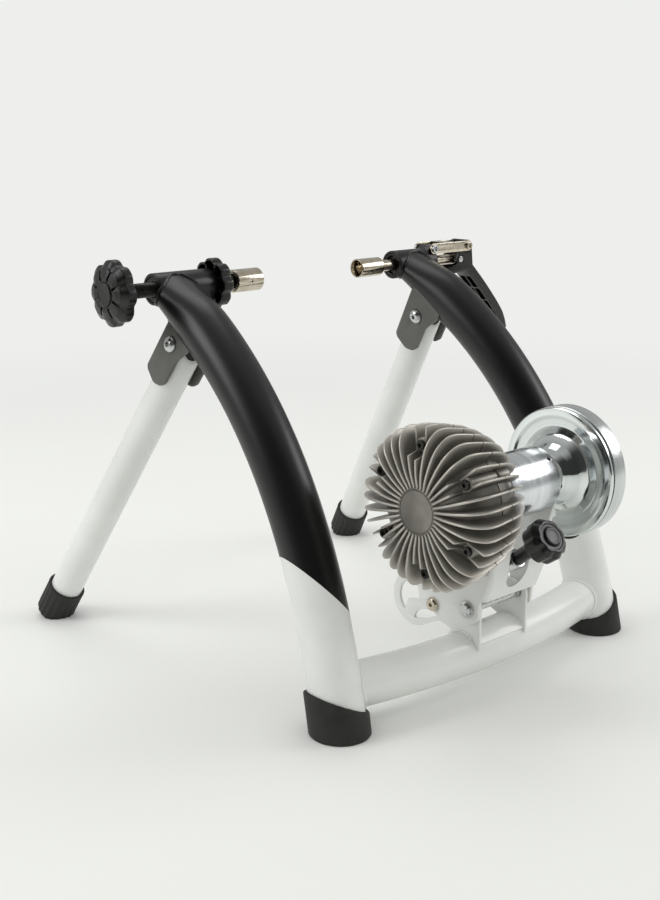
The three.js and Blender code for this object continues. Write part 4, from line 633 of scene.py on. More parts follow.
def bead(bm, points, radius, closed=True):
    # a weld bead: a small round along a line, swelling and thinning a little as a weld does
    count = len(points)
    rows = []
    for i, point in enumerate(points):
        after = points[(i + 1) % count] if closed else points[min(i + 1, count - 1)]
        before = points[i - 1] if closed else points[max(i - 1, 0)]
        ahead = (after - before).normalized()
        outward = (point - sum(points, Vector()) / count).normalized()
        first = (outward - ahead * outward.dot(ahead)).normalized()
        second = ahead.cross(first)
        swell = radius * (1 + 0.1 * math.sin(i * 2.1) + 0.06 * math.sin(i * 0.9))
        rows.append([point + (first * math.cos(a) + second * math.sin(a)) * swell for a in around(8)])
    if not closed:
        rows = [[points[0]]] + rows + [[points[-1]]]
    grid(bm, rows, closed)


def offAxle(point):
    return math.hypot(*(point - axle.translation).yz)


def archPiece(side, word):
    path = paths[side]
    lines = []
    for angle in around(arch["sides"]):
        start = 0.0
        while start < 30 and offAxle(path.surface(start, angle)) < arch["bite"]:
            start += 0.1
        lines.append((start, angle))
    rows = []
    for k in range(arch["steps"] + 1):
        share = k / arch["steps"]
        rows.append([path.surface(start + (path.length - arch["shortBy"] - start) * share, angle)
                     for start, angle in lines])
    bm = bmesh.new()
    grid(bm, rows)
    bead(bm, [path.surface(start + 0.6, angle, 0.1) for start, angle in lines], arch["weldBead"])
    point = Vector(arch["splitPoint"])
    normal = Vector(arch["splitNormal"])
    point.x *= side
    normal.x *= -side
    finishPiece(f"arch-{word}", bm, "frame", "satin_black", archPaint,
                attribute=("paintSplit", lambda p: (p - point).dot(normal)), stands=[f"arch_tube_{word}"])


crossTube = {"radius": 22.0, "height": 36.5, "endBack": 257.0, "middleBack": 282.0, "weldBead": 2.2,
             "steps": 48}


def crossSurface(t, angle, growth=0.0):
    # the cross tube bows back between the arches; t runs from the left arch to the right one
    back, height = crossTube["endBack"], crossTube["height"]
    control = 2 * crossTube["middleBack"] - back
    start, middle, end = [Vector((x, -y, height))
                          for x, y in ((-arch["footX"], back), (0, control), (arch["footX"], back))]
    centre = start * (1 - t) ** 2 + middle * 2 * t * (1 - t) + end * t * t
    tangent = ((middle - start) * (1 - t) + (end - middle) * t).normalized()
    upward = Vector((0, 0, 1))
    across = upward.cross(tangent)
    return centre + (across * math.cos(angle) + upward * math.sin(angle)) * (crossTube["radius"] + growth)


def insideArch(path, point):
    return min((path.raw(0.8 + k / 300) - point).length for k in range(61)) < arch["radius"]


def crossPiece():
    angles = around(56)
    steps = crossTube["steps"]
    bm = bmesh.new()
    grid(bm, [[crossSurface(0.03 + 0.94 * k / steps, angle) for angle in angles] for k in range(steps + 1)])
    for side in (-1, 1):
        line = []
        for angle in angles:
            share = 0.0
            t = share if side < 0 else 1
            while share < 0.2 and insideArch(paths[side], crossSurface(t, angle)):
                share += 0.001
                t = share if side < 0 else 1 - share
            line.append(crossSurface(t, angle, 0.2))
        bead(bm, line, crossTube["weldBead"])
    finishPiece("cross-tube", bm, "frame", "white_paint")


archFoot = {"wall": 3.6, "high": 42.0, "low": 17.0, "rim": 1.1, "lip": 8, "sole": 2.4, "underside": 14,
            "sides": 72}


def archFootPiece(side, word):
    path = paths[side]
    outer, sole = archFoot["wall"], archFoot["sole"]
    slope = (archFoot["high"] - archFoot["low"]) / ((arch["radius"] + outer) * 2)
    rimHeight = (archFoot["high"] + archFoot["low"]) / 2

    def reach(angle, done):
        # how far down the tube a surface line first meets a condition
        distance = path.length - 90
        while distance < path.length + 60 and not done(path.surface(distance, angle, outer)):
            distance += 0.25
        return distance

    def belowRim(point):
        return point.z < rimHeight + slope * (point.x * side - arch["footX"])

    middle = path.section(path.length)[0]
    rows = [[] for _ in range(11)]
    for angle in around(archFoot["sides"]):
        top = reach(angle, belowRim)
        floor = reach(angle, lambda p: p.z < 0)
        low = path.surface(floor, angle, outer)
        low.z = 0
        shoulder = path.surface(top + archFoot["rim"] + 0.4, angle, outer)
        flat = path.surface(floor - sole, angle, outer)
        upward = (flat - low).normalized()
        inward = Vector((middle.x - low.x, middle.y - low.y, 0)).normalized()
        points = [path.surface(top + archFoot["lip"], angle, 0.1), path.surface(top + 0.2, angle, 0.1),
                  path.surface(top - 0.2, angle, outer * 0.5), path.surface(top + 0.5, angle, outer - 0.5),
                  shoulder, shoulder.lerp(flat, 0.5), flat, low + upward * sole * 0.45 + inward * sole * 0.08,
                  low + upward * sole * 0.12 + inward * sole * 0.35, low + inward * sole,
                  low + inward * archFoot["underside"]]
        for row, point in zip(rows, points):
            row.append(point)
    rows[-1] = [sum(rows[-2], Vector()) / archFoot["sides"]]
    bm = bmesh.new()
    grid(bm, rows)
    finishPiece(f"arch-foot-{word}", bm, "frame", "foot_rubber", sharp=60)


sideWords = ((-1, "left"), (1, "right"))
for side, word in sideWords:
    archPiece(side, word)
    archFootPiece(side, word)
crossPiece()
print("arches, cross tube and rubber feet made")

# Fluid resistance unit: finned shells, case screws and gasket about the roller axis

shell = {
    "frontX": -133.5, "frontLength": 44.9, "rearX": -87.4, "rearLength": 45.1, "finRadius": 77.0, "fins": 36,
    "front": [(0, 0.284, 0, 0.28), (-0.06, 0.5, 0.1, 0.34), (-0.035, 0.78, 0.18, 0.55),
              (0.14, 0.945, 0.3, 0.66), (0.42, 1, 0.5, 0.73), (1, 0.944, 1, 0.79)],
    "rear": [(0, 0.942, 0, 0.79), (0.34, 0.89, 0.3, 0.745), (0.7, 0.775, 0.6, 0.64), (0.9, 0.66, 0.8, 0.55),
             (0.985, 0.57, 0.9, 0.51), (1, 0.52, 0.93, 0.5)],
    "rootHalf": 1.65, "rimHalf": 1.05, "sink": 2.0, "boss": 6.6, "bosses": 6, "bossCircle": 59.0,
    "bossFace": -123.0, "bossAngle": 26.0, "wellRadius": 9.0, "discRadius": 21.5, "cavity": 50.0,
    "sides": 144,
}
bossSpot = Matrix.Translation((0, shell["bossCircle"], 0))
bossTurn = math.radians(shell["bossAngle"])


def shellLine(half):
    # along the shell: the fin edge and the skin between fins, in x and radius
    fromX, length, reach = shell[half + "X"], shell[half + "Length"], shell["finRadius"]
    return [(Vector((fromX + s[0] * length, s[1] * reach)), Vector((fromX + s[2] * length, s[3] * reach)))
            for s in through([Vector(entry) for entry in shell[half]], 7)]


def addFin(bm, line, angle):
    # one thin rib, thicker at its root, with a rounded rim; a well clears the case screw beside it
    offset = math.radians((angle - shell["bossAngle"] + 30) % 60 - 30)
    away = abs(shell["bossCircle"] * math.sin(offset))
    clear = shell["bossCircle"] * math.cos(offset) - math.sqrt(max(shell["wellRadius"] ** 2 - away ** 2, 0))
    turn = Matrix.Rotation(math.radians(angle), 4, "X")
    rows = []
    for edge, root in line:
        if away < shell["wellRadius"] and edge.x < shell["bossFace"] and edge.y > clear:
            edge = Vector((shell["bossFace"], edge.y))
        rise = edge - root
        tall = rise.length
        rise.normalize()
        section = [(-shell["sink"], shell["rootHalf"]), (tall * 0.4, shell["rootHalf"] * 0.86),
                   (tall - 1.1, shell["rimHalf"]), (tall - 0.5, shell["rimHalf"] * 0.88),
                   (tall - 0.12, shell["rimHalf"] * 0.5)]
        sides = [(up, -wide) for up, wide in section] + [(tall, 0)] + section[::-1]
        rows.append([turn @ Vector((root.x + rise.x * up, root.y + rise.y * up, wide)) for up, wide in sides])
    capped(bm, rows)


def edgeShare(line):
    # 0 on the skin between fins, 1 on a fin's rim
    def distance(x, radius, index):
        return min((pair[index] - Vector((x, radius))).length for pair in line)

    def share(point):
        radius = math.hypot(point.y - rollerSpot[0], point.z - rollerSpot[1])
        skin = distance(point.x, radius, 1)
        rim = distance(point.x, radius, 0)
        return skin / max(skin + rim, 0.001)
    return share


def finnedShell(half, line, skin, closed, bossFrom, bossTo, bossEdge):
    bm = spin(bmesh.new(), skin, shell["sides"], closed=closed)
    fins = bmesh.new()
    for k in range(shell["fins"] // shell["bosses"]):
        addFin(fins, line, k * 360 / shell["fins"])
    bm.from_mesh(ringOf(fins, shell["bosses"]))
    boss = bar(bmesh.new(), shell["boss"], bossFrom, bossTo, bossSpot, 32, bossEdge)
    bm.from_mesh(ringOf(boss, shell["bosses"], bossTurn))
    bmesh.ops.transform(bm, matrix=rollerAxis, verts=bm.verts)
    finishPiece(f"fluid-housing-{half}", bm, "swing_yoke", "cast_aluminium",
                attribute=("finEdge", edgeShare(line)))


def frontShell():
    line = shellLine("front")
    start, disc, reach, face = shell["frontX"], shell["discRadius"], shell["cavity"], shell["bossFace"]
    skin = [(start, 0), (start, disc - 1.2), (start + 0.35, disc - 0.5), (start + 1.2, disc)]
    inner = [(-88.6, reach), (-116, reach), (-121.8, reach * 0.85), (-121.8, 0)]
    skin += [tuple(root) for _, root in line[3:]] + inner
    finnedShell("front", line, skin, False, face, -89.0, 0.5)
    head = [(face + 1, 0), (face + 1, 4.6), (face - 2.7, 4.6), (face - 3.2, 4.1), (face - 3.2, 2.9)]
    screws = screwHead(bmesh.new(), head, face - 3.2, face - 1.2, 2.3, bossSpot, 36)
    screws = ringOf(screws, shell["bosses"], bossTurn, rollerAxis)
    finishPiece("case-screws", screws, "swing_yoke", "cast_aluminium", blackSteel, stands=())


def rearShell():
    line = shellLine("rear")
    last, start, reach = line[-1][1], shell["rearX"], shell["cavity"]
    inner = [(last.x + 0.6, last.y - 1.5), (last.x + 0.6, 30.0), (-42.3, 27.5), (-42.3, 17.3), (-51.9, 17.3),
             (-51.9, 13.3), (-57.2, 13.3), (-57.2, 9.0), (-62.2, 9.0), (-62.2, 30.0), (-77.4, reach)]
    skin = [(line[0][1].x, reach)] + [tuple(root) for _, root in line] + inner
    finnedShell("rear", line, skin, True, start + 0.2, start + 16, 1.6)
    ring = [(-88.3, 51.2), (-88.3, 60.2), (-87.7, 60.2), (-87.7, 51.2)]
    gasket = spin(bmesh.new(), ring, shell["sides"], rollerAxis, True)
    finishPiece("fluid-gasket", gasket, "swing_yoke", "foot_rubber")


frontShell()
rearShell()
print("finned fluid housing made")

# Roller, shaft end, flywheel and its nut

rotor = {
    "radius": 32.0, "left": -37.5, "right": 32.0, "edge": 1.0, "rim": 7.0, "recess": 5.0, "hub": 13.5,
    "bore": 7.8, "grubAngle": 130, "grubInset": 6.255, "grubRadius": 2.3, "sides": 160,
    "dish": [(46, 7.8, 0), (46, 15.6, 2), (48.5, 20.8, 8), (54, 26, 8), (60.8, 30.6, 8), (66.2, 37.7, 8),
             (67.6, 46.8, 10), (67, 54, 4), (65.8, 57.2, 1.2), (65.8, 63.9, 1.3), (67.4, 64.7, 0.6),
             (70.2, 64.7, 0.7), (70.2, 35.8, 2), (64.2, 32.5, 4), (57.4, 23.4, 4), (70.2, 15.8, 1),
             (70.2, 7.8, 0)],
    "heavyRim": [(70.5, 7.8, 0), (70.5, 61.1, 0.4), (72.1, 61.1, 0.3), (72.1, 65, 1), (89.4, 65, 1.2),
                 (89.4, 52, 0.6), (81.4, 49.4, 2), (81.4, 19.8, 3), (85.4, 15.8, 1), (85.4, 7.8, 0)],
}


def rollerPiece():
    r, bore, hub = rotor["radius"], rotor["bore"], rotor["hub"]
    left, right, web = rotor["left"], rotor["right"], r - rotor["rim"]
    floor = right - rotor["recess"]
    corners = [(left, bore, 0), (left, r, rotor["edge"]), (right, r, rotor["edge"]), (right, web, 0.6),
               (floor, web, 1.0), (floor, hub, 1.0), (right, hub, 0.6), (right, bore, 0)]
    drum = turned(bmesh.new(), corners, unmoved, rotor["sides"])
    turn = Matrix.Rotation(math.radians(rotor["grubAngle"]), 4, "X")
    holes, grubs = bmesh.new(), bmesh.new()
    for x in (left + rotor["grubInset"], right - rotor["grubInset"]):
        spot = Matrix.Translation((x, 0, 0)) @ turn @ Matrix.Rotation(math.pi / 2, 4, "Z")
        bar(holes, rotor["grubRadius"], 20, 40, spot, 32, 0.0)
        screwHead(grubs, [(20, 0), (20, 2.2), (27.6, 2.2), (28, 1.9)], 28, 26, 1.2, rollerAxis @ spot, 24)
    drum = cutAway(drum, holes)
    drum.transform(rollerAxis)
    finishPiece("roller", drum, "rotor", "turned_aluminium")
    finishPiece("roller-grub-screws", grubs, "rotor", "turned_aluminium", blackSteel, stands=())


rollerPiece()
finishPiece("rotor-shaft", bar(bmesh.new(), 7.5, -104, 98, rollerAxis, 64, 0.9), "rotor", "zinc_steel")
nut = hexBar(bmesh.new(), 11.0, 85.7, 93.7, rollerAxis, 0.8, rotor["bore"])
finishPiece("flywheel-nut", nut, "rotor", "zinc_steel")
dish = turned(bmesh.new(), rotor["dish"], rollerAxis, rotor["sides"], 5)
finishPiece("flywheel-dish", dish, "rotor", "flywheel_plate", sharp=50)
heavyRim = turned(bmesh.new(), rotor["heavyRim"], rollerAxis, rotor["sides"])
finishPiece("flywheel-rim", heavyRim, "rotor", "flywheel_plate", rimMetal)
print("roller and flywheel made")

# Folding legs: bracket, tube with its end plug, ribbed foot, pivot bolt and lock nut

leg = {
    "pivot": (173.518, -29.9, 325.618), "foot": (226.3, 168.5, 0.0), "radius": 17.3, "wall": 1.8, "top": 8.6,
    "plug": 34.0, "folds": (0, 11.2, 22.4, 33.6, 44.8, 56), "sides": 72, "socket": 15.3,
}
legFoot = {"radius": 20.75, "length": 44.0, "ribs": 18, "ribDepth": 1.1, "rounding": 9.2, "floor": 15.0,
           "below": 0.2, "sides": 216}
legBracket = {"top": -5.0, "outer": 21.2, "web": 17.8, "thick": 3.0, "corner": 4.5, "weldBead": 1.5,
              "outline": [(20.8, 46, 0), (-34, 46, 0), (-27.2, 13.8, 12), (-17.5, -6.6, 14), (-17, -35.7, 7),
                          (-12.6, -42.3, 5), (-1.7, -47, 12), (14.6, -42.3, 6), (20.8, -36.7, 5)]}
legBolt = {"radius": 8.4, "tall": 4.6, "shank": 4.0, "seat": -21.5, "nut": 7.5, "hole": 4.3,
           "dome": [(0, 0.96), (0.1, 1), (0.26, 0.985), (0.45, 0.93), (0.65, 0.82), (0.82, 0.68),
                    (0.94, 0.54), (1, 0.44)],
           "collar": [(25.8, 4.3, 0), (25.8, 6.1, 0.2), (28, 5.7, 1.2), (28, 4.3, 0.2)]}
legLength = (Vector(leg["pivot"]) - Vector(leg["foot"])).length
sideways = Matrix(((0, 0, 1, 0), (1, 0, 0, 0), (0, 1, 0, 0), (0, 0, 0, 1)))


def legPlace(side):
    pivot = Vector(leg["pivot"])
    foot = Vector(leg["foot"])
    pivot.x *= side
    foot.x *= side
    upward = (pivot - foot).normalized()
    hinge = Vector((pivot.z, 0, foot.x - pivot.x)).normalized()
    place = Matrix((hinge, upward.cross(hinge), upward)).transposed().to_4x4()
    place.translation = pivot
    return place


def legTop(y):
    # how high the leg's end may stand at a distance across the hinge, so that it folds clear
    turns = [math.radians(a) for a in leg["folds"]]
    folded = min((leg["top"] + y * math.sin(a)) / math.cos(a) for a in turns)
    return min(folded, math.sqrt(max(leg["radius"] ** 2 - y * y, 0)))


def upRows(profile, sides, place):
    # rings about the leg from (reach, height); a reach may depend on the angle, a height on y
    rows = []
    for reach, height in profile:
        row = []
        for angle in around(sides):
            r = reach(angle) if callable(reach) else reach
            x, y = r * math.cos(angle), r * math.sin(angle)
            row.append(place @ Vector((x, y, height(y) if callable(height) else height)))
        rows.append(row)
    return rows


def belowTop(gap):
    return lambda y: legTop(y) - gap


def legTube(word, place):
    r, inner, sides = leg["radius"], leg["radius"] - leg["wall"], leg["sides"]
    low = leg["socket"] - legLength
    tube = bmesh.new()
    profile = [(r - 0.6, low), (r, low + 0.6), (r, -30), (r, belowTop(0.5)), (r - 0.4, belowTop(0.05)),
               (inner, legTop), (inner, -30), (inner, low)]
    grid(tube, upRows(profile, sides, place), closedRows=True)
    finishPiece(f"leg-tube-{word}", tube, f"leg_{word}", "white_paint")
    r = inner - 0.3
    bottom = leg["top"] - leg["plug"]
    plug = bmesh.new()
    crown = [(r, bottom), (r, belowTop(1.1)), (r - 1, belowTop(0.6)),
             (r * 0.5, lambda y: min(legTop(y), legTop(0)) - 0.6)]
    grid(plug, [[place @ Vector((0, 0, bottom))], *upRows(crown, sides, place),
                [place @ Vector((0, 0, legTop(0) - 0.6))]])
    finishPiece(f"leg-plug-{word}", plug, f"leg_{word}", "foot_rubber", finishes["black_plastic"],
                stands=[f"leg_insert_{word}"])


def legFootPiece(word, place):
    r, bend, hollow = legFoot["radius"], legFoot["rounding"], leg["radius"] + 0.3
    low = -legLength - legFoot["below"]
    top = -legLength + legFoot["length"]
    floor = -legLength + legFoot["floor"]

    def ribbed(radius, height, share):
        def reach(angle):
            wave = abs(math.sin(legFoot["ribs"] * angle / 2)) ** 1.6
            return radius - legFoot["ribDepth"] * share * (1 - wave)
        return reach, height

    profile = []
    for k in range(7):
        turn = math.pi / 2 * k / 6
        profile.append(ribbed(r - bend + bend * math.sin(turn), low + bend * (1 - math.cos(turn)),
                              math.sin(turn) ** 2))
    profile += [ribbed(r, top - 5.2, 1.0), ribbed(r, top - 4.2, 0.25), ribbed(r, top - 0.9, 0.0),
                ribbed(r - 0.3, top - 0.25, 0.0), ribbed(r - 0.9, top, 0.0), (hollow + 0.4, top),
                (hollow, top - 0.4), (hollow, floor)]
    bm = bmesh.new()
    grid(bm, [[place @ Vector((0, 0, low))], *upRows(profile, legFoot["sides"], place),
              [place @ Vector((0, 0, floor))]])
    cut = bmesh.ops.bisect_plane(bm, geom=bm.verts[:] + bm.edges[:] + bm.faces[:], plane_co=(0, 0, 0.01),
                                 plane_no=(0, 0, 1), clear_inner=True)
    rim = [e for e in cut["geom_cut"] if isinstance(e, bmesh.types.BMEdge)]
    bmesh.ops.holes_fill(bm, edges=rim, sides=0)
    finishPiece(f"leg-foot-{word}", bm, f"leg_{word}", "foot_rubber", sharp=50)


def archSolid(side):
    # the arch tube as a cutter, with the room above it
    rows = []
    for k in range(25):
        distance = -30 + 180 * k / 24
        upward = paths[side].section(distance)[3]
        ring = [paths[side].surface(distance, angle, 0.3) for angle in around(48)]
        rows.append([p + upward * 60 if 0 < i < 24 else p for i, p in enumerate(ring)])
    return capped(bmesh.new(), rows)


def aboveArch(side, height):
    # everything above a line beside the arch tube, as a cutter
    rows = []
    for k in range(13):
        centre, _, across, upward = paths[side].section(-30 + 180 * k / 12)
        rows.append([centre + across * x + upward * z
                     for x, z in ((-60, height), (60, height), (60, 90), (-60, 90))])
    return capped(bmesh.new(), rows)


def insideArchTop(side, point):
    # inside the oval section that lies nearest along the tube
    best = None
    for k in range(60):
        distance = k * 2.5
        centre, tangent, across, upward = paths[side].section(distance)
        gap = abs((point - centre).dot(tangent))
        if best is None or gap < best[0]:
            best = (gap, distance, centre, across, upward)
    _, distance, centre, across, upward = best
    wide, deep = crimped(distance)
    offset = point - centre
    return (offset.dot(across) / wide) ** 2 + (offset.dot(upward) / deep) ** 2 < 1


def legBracketPiece(side, word, place):
    outer, web, thick, corner = [legBracket[part] for part in ("outer", "web", "thick", "corner")]
    profile = rounded([(-outer, -60, 0), (-outer, web + thick, corner), (outer, web + thick, corner),
                       (outer, -60, 0), (outer - thick, -60, 0), (outer - thick, web, corner - thick),
                       (thick - outer, web, corner - thick), (thick - outer, -60, 0)], 6)
    channel = capped(bmesh.new(), [[Vector((p.x, p.y, z)) for p in profile] for z in (-50, 50)])
    outline = [tuple(p) for p in rounded(legBracket["outline"], 6)]
    across = flatPlate(bmesh.new(), [outline, circle(0, 0, legBolt["hole"])], -30, 30, sideways, 0.0)
    shape = combine(channel, across, "INTERSECT")
    shape.transform(place)
    shape = cutAway(shape, aboveArch(side, legBracket["top"]), archSolid(side))
    bm = fromMesh(softEdges(shape, 0.45))
    upward = (place.to_3x3() @ Vector((0, 0, 1))).normalized()
    inset = outer - thick / 2
    for x in (-inset, inset):
        line = []
        for y in (-26 + 46 * k / 14 for k in range(15)):
            foot = place @ Vector((x, y, 0))
            reach = 0.0
            while reach < 60 and not insideArchTop(side, foot + upward * reach):
                reach += 0.25
            line.append(foot + upward * (reach - 0.4))
        bead(bm, line, legBracket["weldBead"], closed=False)
    finishPiece(f"leg-bracket-{word}", bm, "frame", "bracket_black", sharp=40)


def legHardware(word, place):
    seat, tall, r, hole = [legBolt[part] for part in ("seat", "tall", "radius", "hole")]
    dome = [(seat + 0.1, 0)] + [(seat - tall * x, r * share) for x, share in legBolt["dome"]]
    bolt = screwHead(bmesh.new(), dome, seat - tall, seat - tall * 0.35, r * 0.34, place)
    bar(bolt, legBolt["shank"], seat - 1, 30.3, place, 32, 0.6)
    finishPiece(f"leg-pivot-bolt-{word}", bolt, "frame", "zinc_steel")
    nut = hexBar(bmesh.new(), legBolt["nut"], 21.5, 26.0, place, 0.6, hole)
    turned(nut, legBolt["collar"], place, 48)
    finishPiece(f"leg-pivot-nut-{word}", nut, "frame", "zinc_steel")


for side, word in sideWords:
    place = legPlace(side)
    legTube(word, place)
    legFootPiece(word, place)
    legBracketPiece(side, word, place)
    legHardware(word, place)
print("folding legs made")

# Bracket on the cross tube, swinging yoke and their hardware

unit = {
    "middle": -1.5, "pivot": (-291.0, 86.5), "roller": rollerSpot, "anchor": (-242.0, 77.0),
    "trunnion": (-309.984, 129.998), "endMiddle": (-215.0, 76.0), "endRadius": 28.5, "plate": 3.0,
    "bracketHalf": 35.9, "yokeHalf": 37.5, "fold": 5.5, "boltHole": 4.3, "pivotHole": 5.3,
    "moon": [(0.02, -0.76), (-0.15, -0.47), (-0.36, -0.32), (-0.6, -0.25), (-0.94, -0.245), (-1.16, -0.34),
             (-0.607, -0.6)],
    "spokes": [(-0.2, 0.46), (-0.27, 0.05), (0.27, -0.08)],
}
pivotAxis = Matrix.Translation((unit["middle"], *unit["pivot"]))
anchorAxis = Matrix.Translation((unit["middle"], *unit["anchor"]))
trunnionAxis = Matrix.Translation((unit["middle"], *unit["trunnion"]))


def arc(centre, radius, fromShare, toShare, steps=20):
    # points of an arc, its ends given as shares of a half turn
    return [(centre[0] + radius * math.cos(a), centre[1] + radius * math.sin(a), 0)
            for a in (math.pi * (fromShare + (toShare - fromShare) * k / steps) for k in range(steps + 1))]


def alongCross(x):
    return (x + arch["footX"]) / arch["footX"] / 2


def bracketPiece():
    middle, reach, half, thick = unit["endMiddle"], unit["endRadius"], unit["bracketHalf"], unit["plate"]

    def fromMiddle(share, fillet):
        return (middle[0] + share[0] * reach, middle[1] + share[1] * reach, fillet)

    outline = rounded(arc(middle, reach, -0.666, 0.55, 40) + arc(unit["pivot"], 12, 0.42, 1, 14)
                      + [(-303, 46, 0), (-282, 50, 0), fromMiddle((-1.28, -0.435), 16)])
    spokes = [fromMiddle(s, 2.5) for s in unit["spokes"]]
    quarter = rounded(arc(middle, reach * 0.68, -0.28, 0.4, 18) + spokes, 4)
    moon = rounded([fromMiddle(s, 3.2) for s in unit["moon"]], 4)
    loops = [outline, circle(*unit["pivot"], unit["pivotHole"]), circle(*unit["anchor"], unit["boltHole"]),
             quarter, moon]
    plates = bmesh.new()
    for low in (unit["middle"] - half, unit["middle"] + half - thick):
        flatPlate(plates, [[tuple(p)[:2] for p in loop] for loop in loops], low, low + thick, sideways, 0.45)
    tube = capped(bmesh.new(), [[crossSurface(0.3 + 0.4 * k / 16, angle, 0.3) for angle in around(96)]
                                for k in range(17)])
    bm = fromMesh(cutAway(plates, tube))
    start, end = alongCross(unit["middle"] - half + 1), alongCross(unit["middle"] + half - 1)
    low = math.asin(15.0 / 25.3)
    angles = [low + (math.pi - 2 * low) * k / 16 for k in range(17)]
    saddle = []
    for k in range(9):
        t = start + (end - start) * k / 8
        saddle.append([crossSurface(t, a, 3.3) for a in angles]
                      + [crossSurface(t, a, 0.3) for a in angles[::-1]])
    capped(bm, saddle)
    for x in (unit["middle"] - half, unit["middle"] + half):
        line = [crossSurface(alongCross(x), 0.62 + 1.55 * k / 22, 0.9) for k in range(23)]
        bead(bm, line, 1.5, closed=False)
    finishPiece("unit-bracket", bm, "frame", "white_paint", sharp=40)


yokeForm = {
    "backEdge": [(0.118, 18.7), (0.341, 25.0), (0.608, 25.0)], "windowMiddle": -5.5, "windowFoot": 14.0,
    "windowFloor": 107.1, "windowWidth": 36.0, "windowTop": 176, "windowDepths": (291, 366),
    "lean": 98.06 / 180, "sideDepth": 14.0, "front": (0.51, -16.9), "pivotEnd": 15, "rollerEnd": 26,
    "rooms": (10.5, 17.9), "seatBore": 17.3, "seatOuter": 22.1, "seatDepth": 9, "screwCircle": 22.83,
}


def besideArm(share, setback):
    pivot, roller = Vector(unit["pivot"]), Vector(unit["roller"])
    up = roller - pivot
    back = Vector((-up.y, up.x)).normalized()
    return tuple(pivot + up * share + back * setback)


def yokeOutline():
    lean, fold = yokeForm["lean"], unit["fold"]
    foot, shoulder, top = [besideArm(share, setback - fold) for share, setback in yokeForm["backEdge"]]
    return rounded(arc(unit["pivot"], yokeForm["pivotEnd"], lean + 0.62, lean + 1.38, 24)
                   + [(*besideArm(*yokeForm["front"]), 40)]
                   + arc(unit["roller"], yokeForm["rollerEnd"], lean - 0.55, lean + 0.55, 40)
                   + [(*top, 8), (*shoulder, 20), (*foot, 6)], 6)


def yokeChannel():
    # the folded web with a short length of both arms, rounded where it folds
    half, thick, fold, depth = unit["yokeHalf"], unit["plate"], unit["fold"], yokeForm["sideDepth"]
    outer = half + thick
    section = rounded([(-outer, depth, 0), (-outer, 0, fold), (outer, 0, fold), (outer, depth, 0),
                       (half, depth, 0), (half, thick, fold - thick), (-half, thick, fold - thick),
                       (-half, depth, 0)], 6)
    edge = rounded([(*besideArm(*entry), 18) for entry in yokeForm["backEdge"]], 6, False)
    ahead = Vector(besideArm(0, -1)) - Vector(besideArm(0, 0))
    return capped(bmesh.new(), [[Vector((unit["middle"] + p.x, e.x + ahead.x * p.y, e.y + ahead.y * p.y))
                                 for p in section] for e in edge])


def yokePiece():
    half, thick = unit["yokeHalf"], unit["plate"]
    outline = [tuple(p) for p in yokeOutline()]
    arms = bmesh.new()
    for way, room in zip((-1, 1), yokeForm["rooms"]):
        low = unit["middle"] + way * (half + thick / 2) - thick / 2
        loops = [outline, circle(*unit["pivot"], 7.3, 40), circle(*unit["trunnion"], 3.3, 24),
                 circle(*unit["roller"], room, 56)]
        flatPlate(arms, loops, low, low + thick, sideways, 0.0)
    middle, foot, floor, top = [yokeForm["window" + part] for part in ("Middle", "Foot", "Floor", "Top")]
    wide = yokeForm["windowWidth"] / 2
    window = [(middle + foot * math.cos(a), floor + foot + foot * math.sin(a))
              for a in (math.pi + math.pi * k / 24 for k in range(25))]
    window += [(middle + wide, top), (middle - wide, top)]
    facing = Matrix(((1, 0, 0, 0), (0, 0, -1, 0), (0, 1, 0, 0), (0, 0, 0, 1)))
    web = cutAway(yokeChannel(), flatPlate(bmesh.new(), [window], *yokeForm["windowDepths"], facing, 0.0))
    bm = fromMesh(softEdges(combine(arms, web, "UNION"), 0.5))
    near = unit["middle"] + half - 1.5
    far = near + yokeForm["seatDepth"]
    bore, outer = yokeForm["seatBore"], yokeForm["seatOuter"]
    turned(bm, [(near, bore, 0.3), (near, outer, 0.8), (far, outer, 1.2), (far, bore, 0.8)], rollerAxis, 64)
    finishPiece("yoke", bm, "swing_yoke", "white_paint", sharp=40)
    face = unit["middle"] - half
    head = [(face - 10, 0), (face - 10, 2.4), (face - 2.4, 2.6), (face - 0.1, 4.9), (face - 0.05, 4.6)]
    spot = Matrix.Translation((0, 0, yokeForm["screwCircle"]))
    screw = screwHead(bmesh.new(), head, face - 0.05, face - 2, 1.7, spot, 36)
    finishPiece("yoke-screws", ringOf(screw, 3, 0.0, rollerAxis), "swing_yoke", "white_paint",
                finishes["zinc_steel"], stands=())


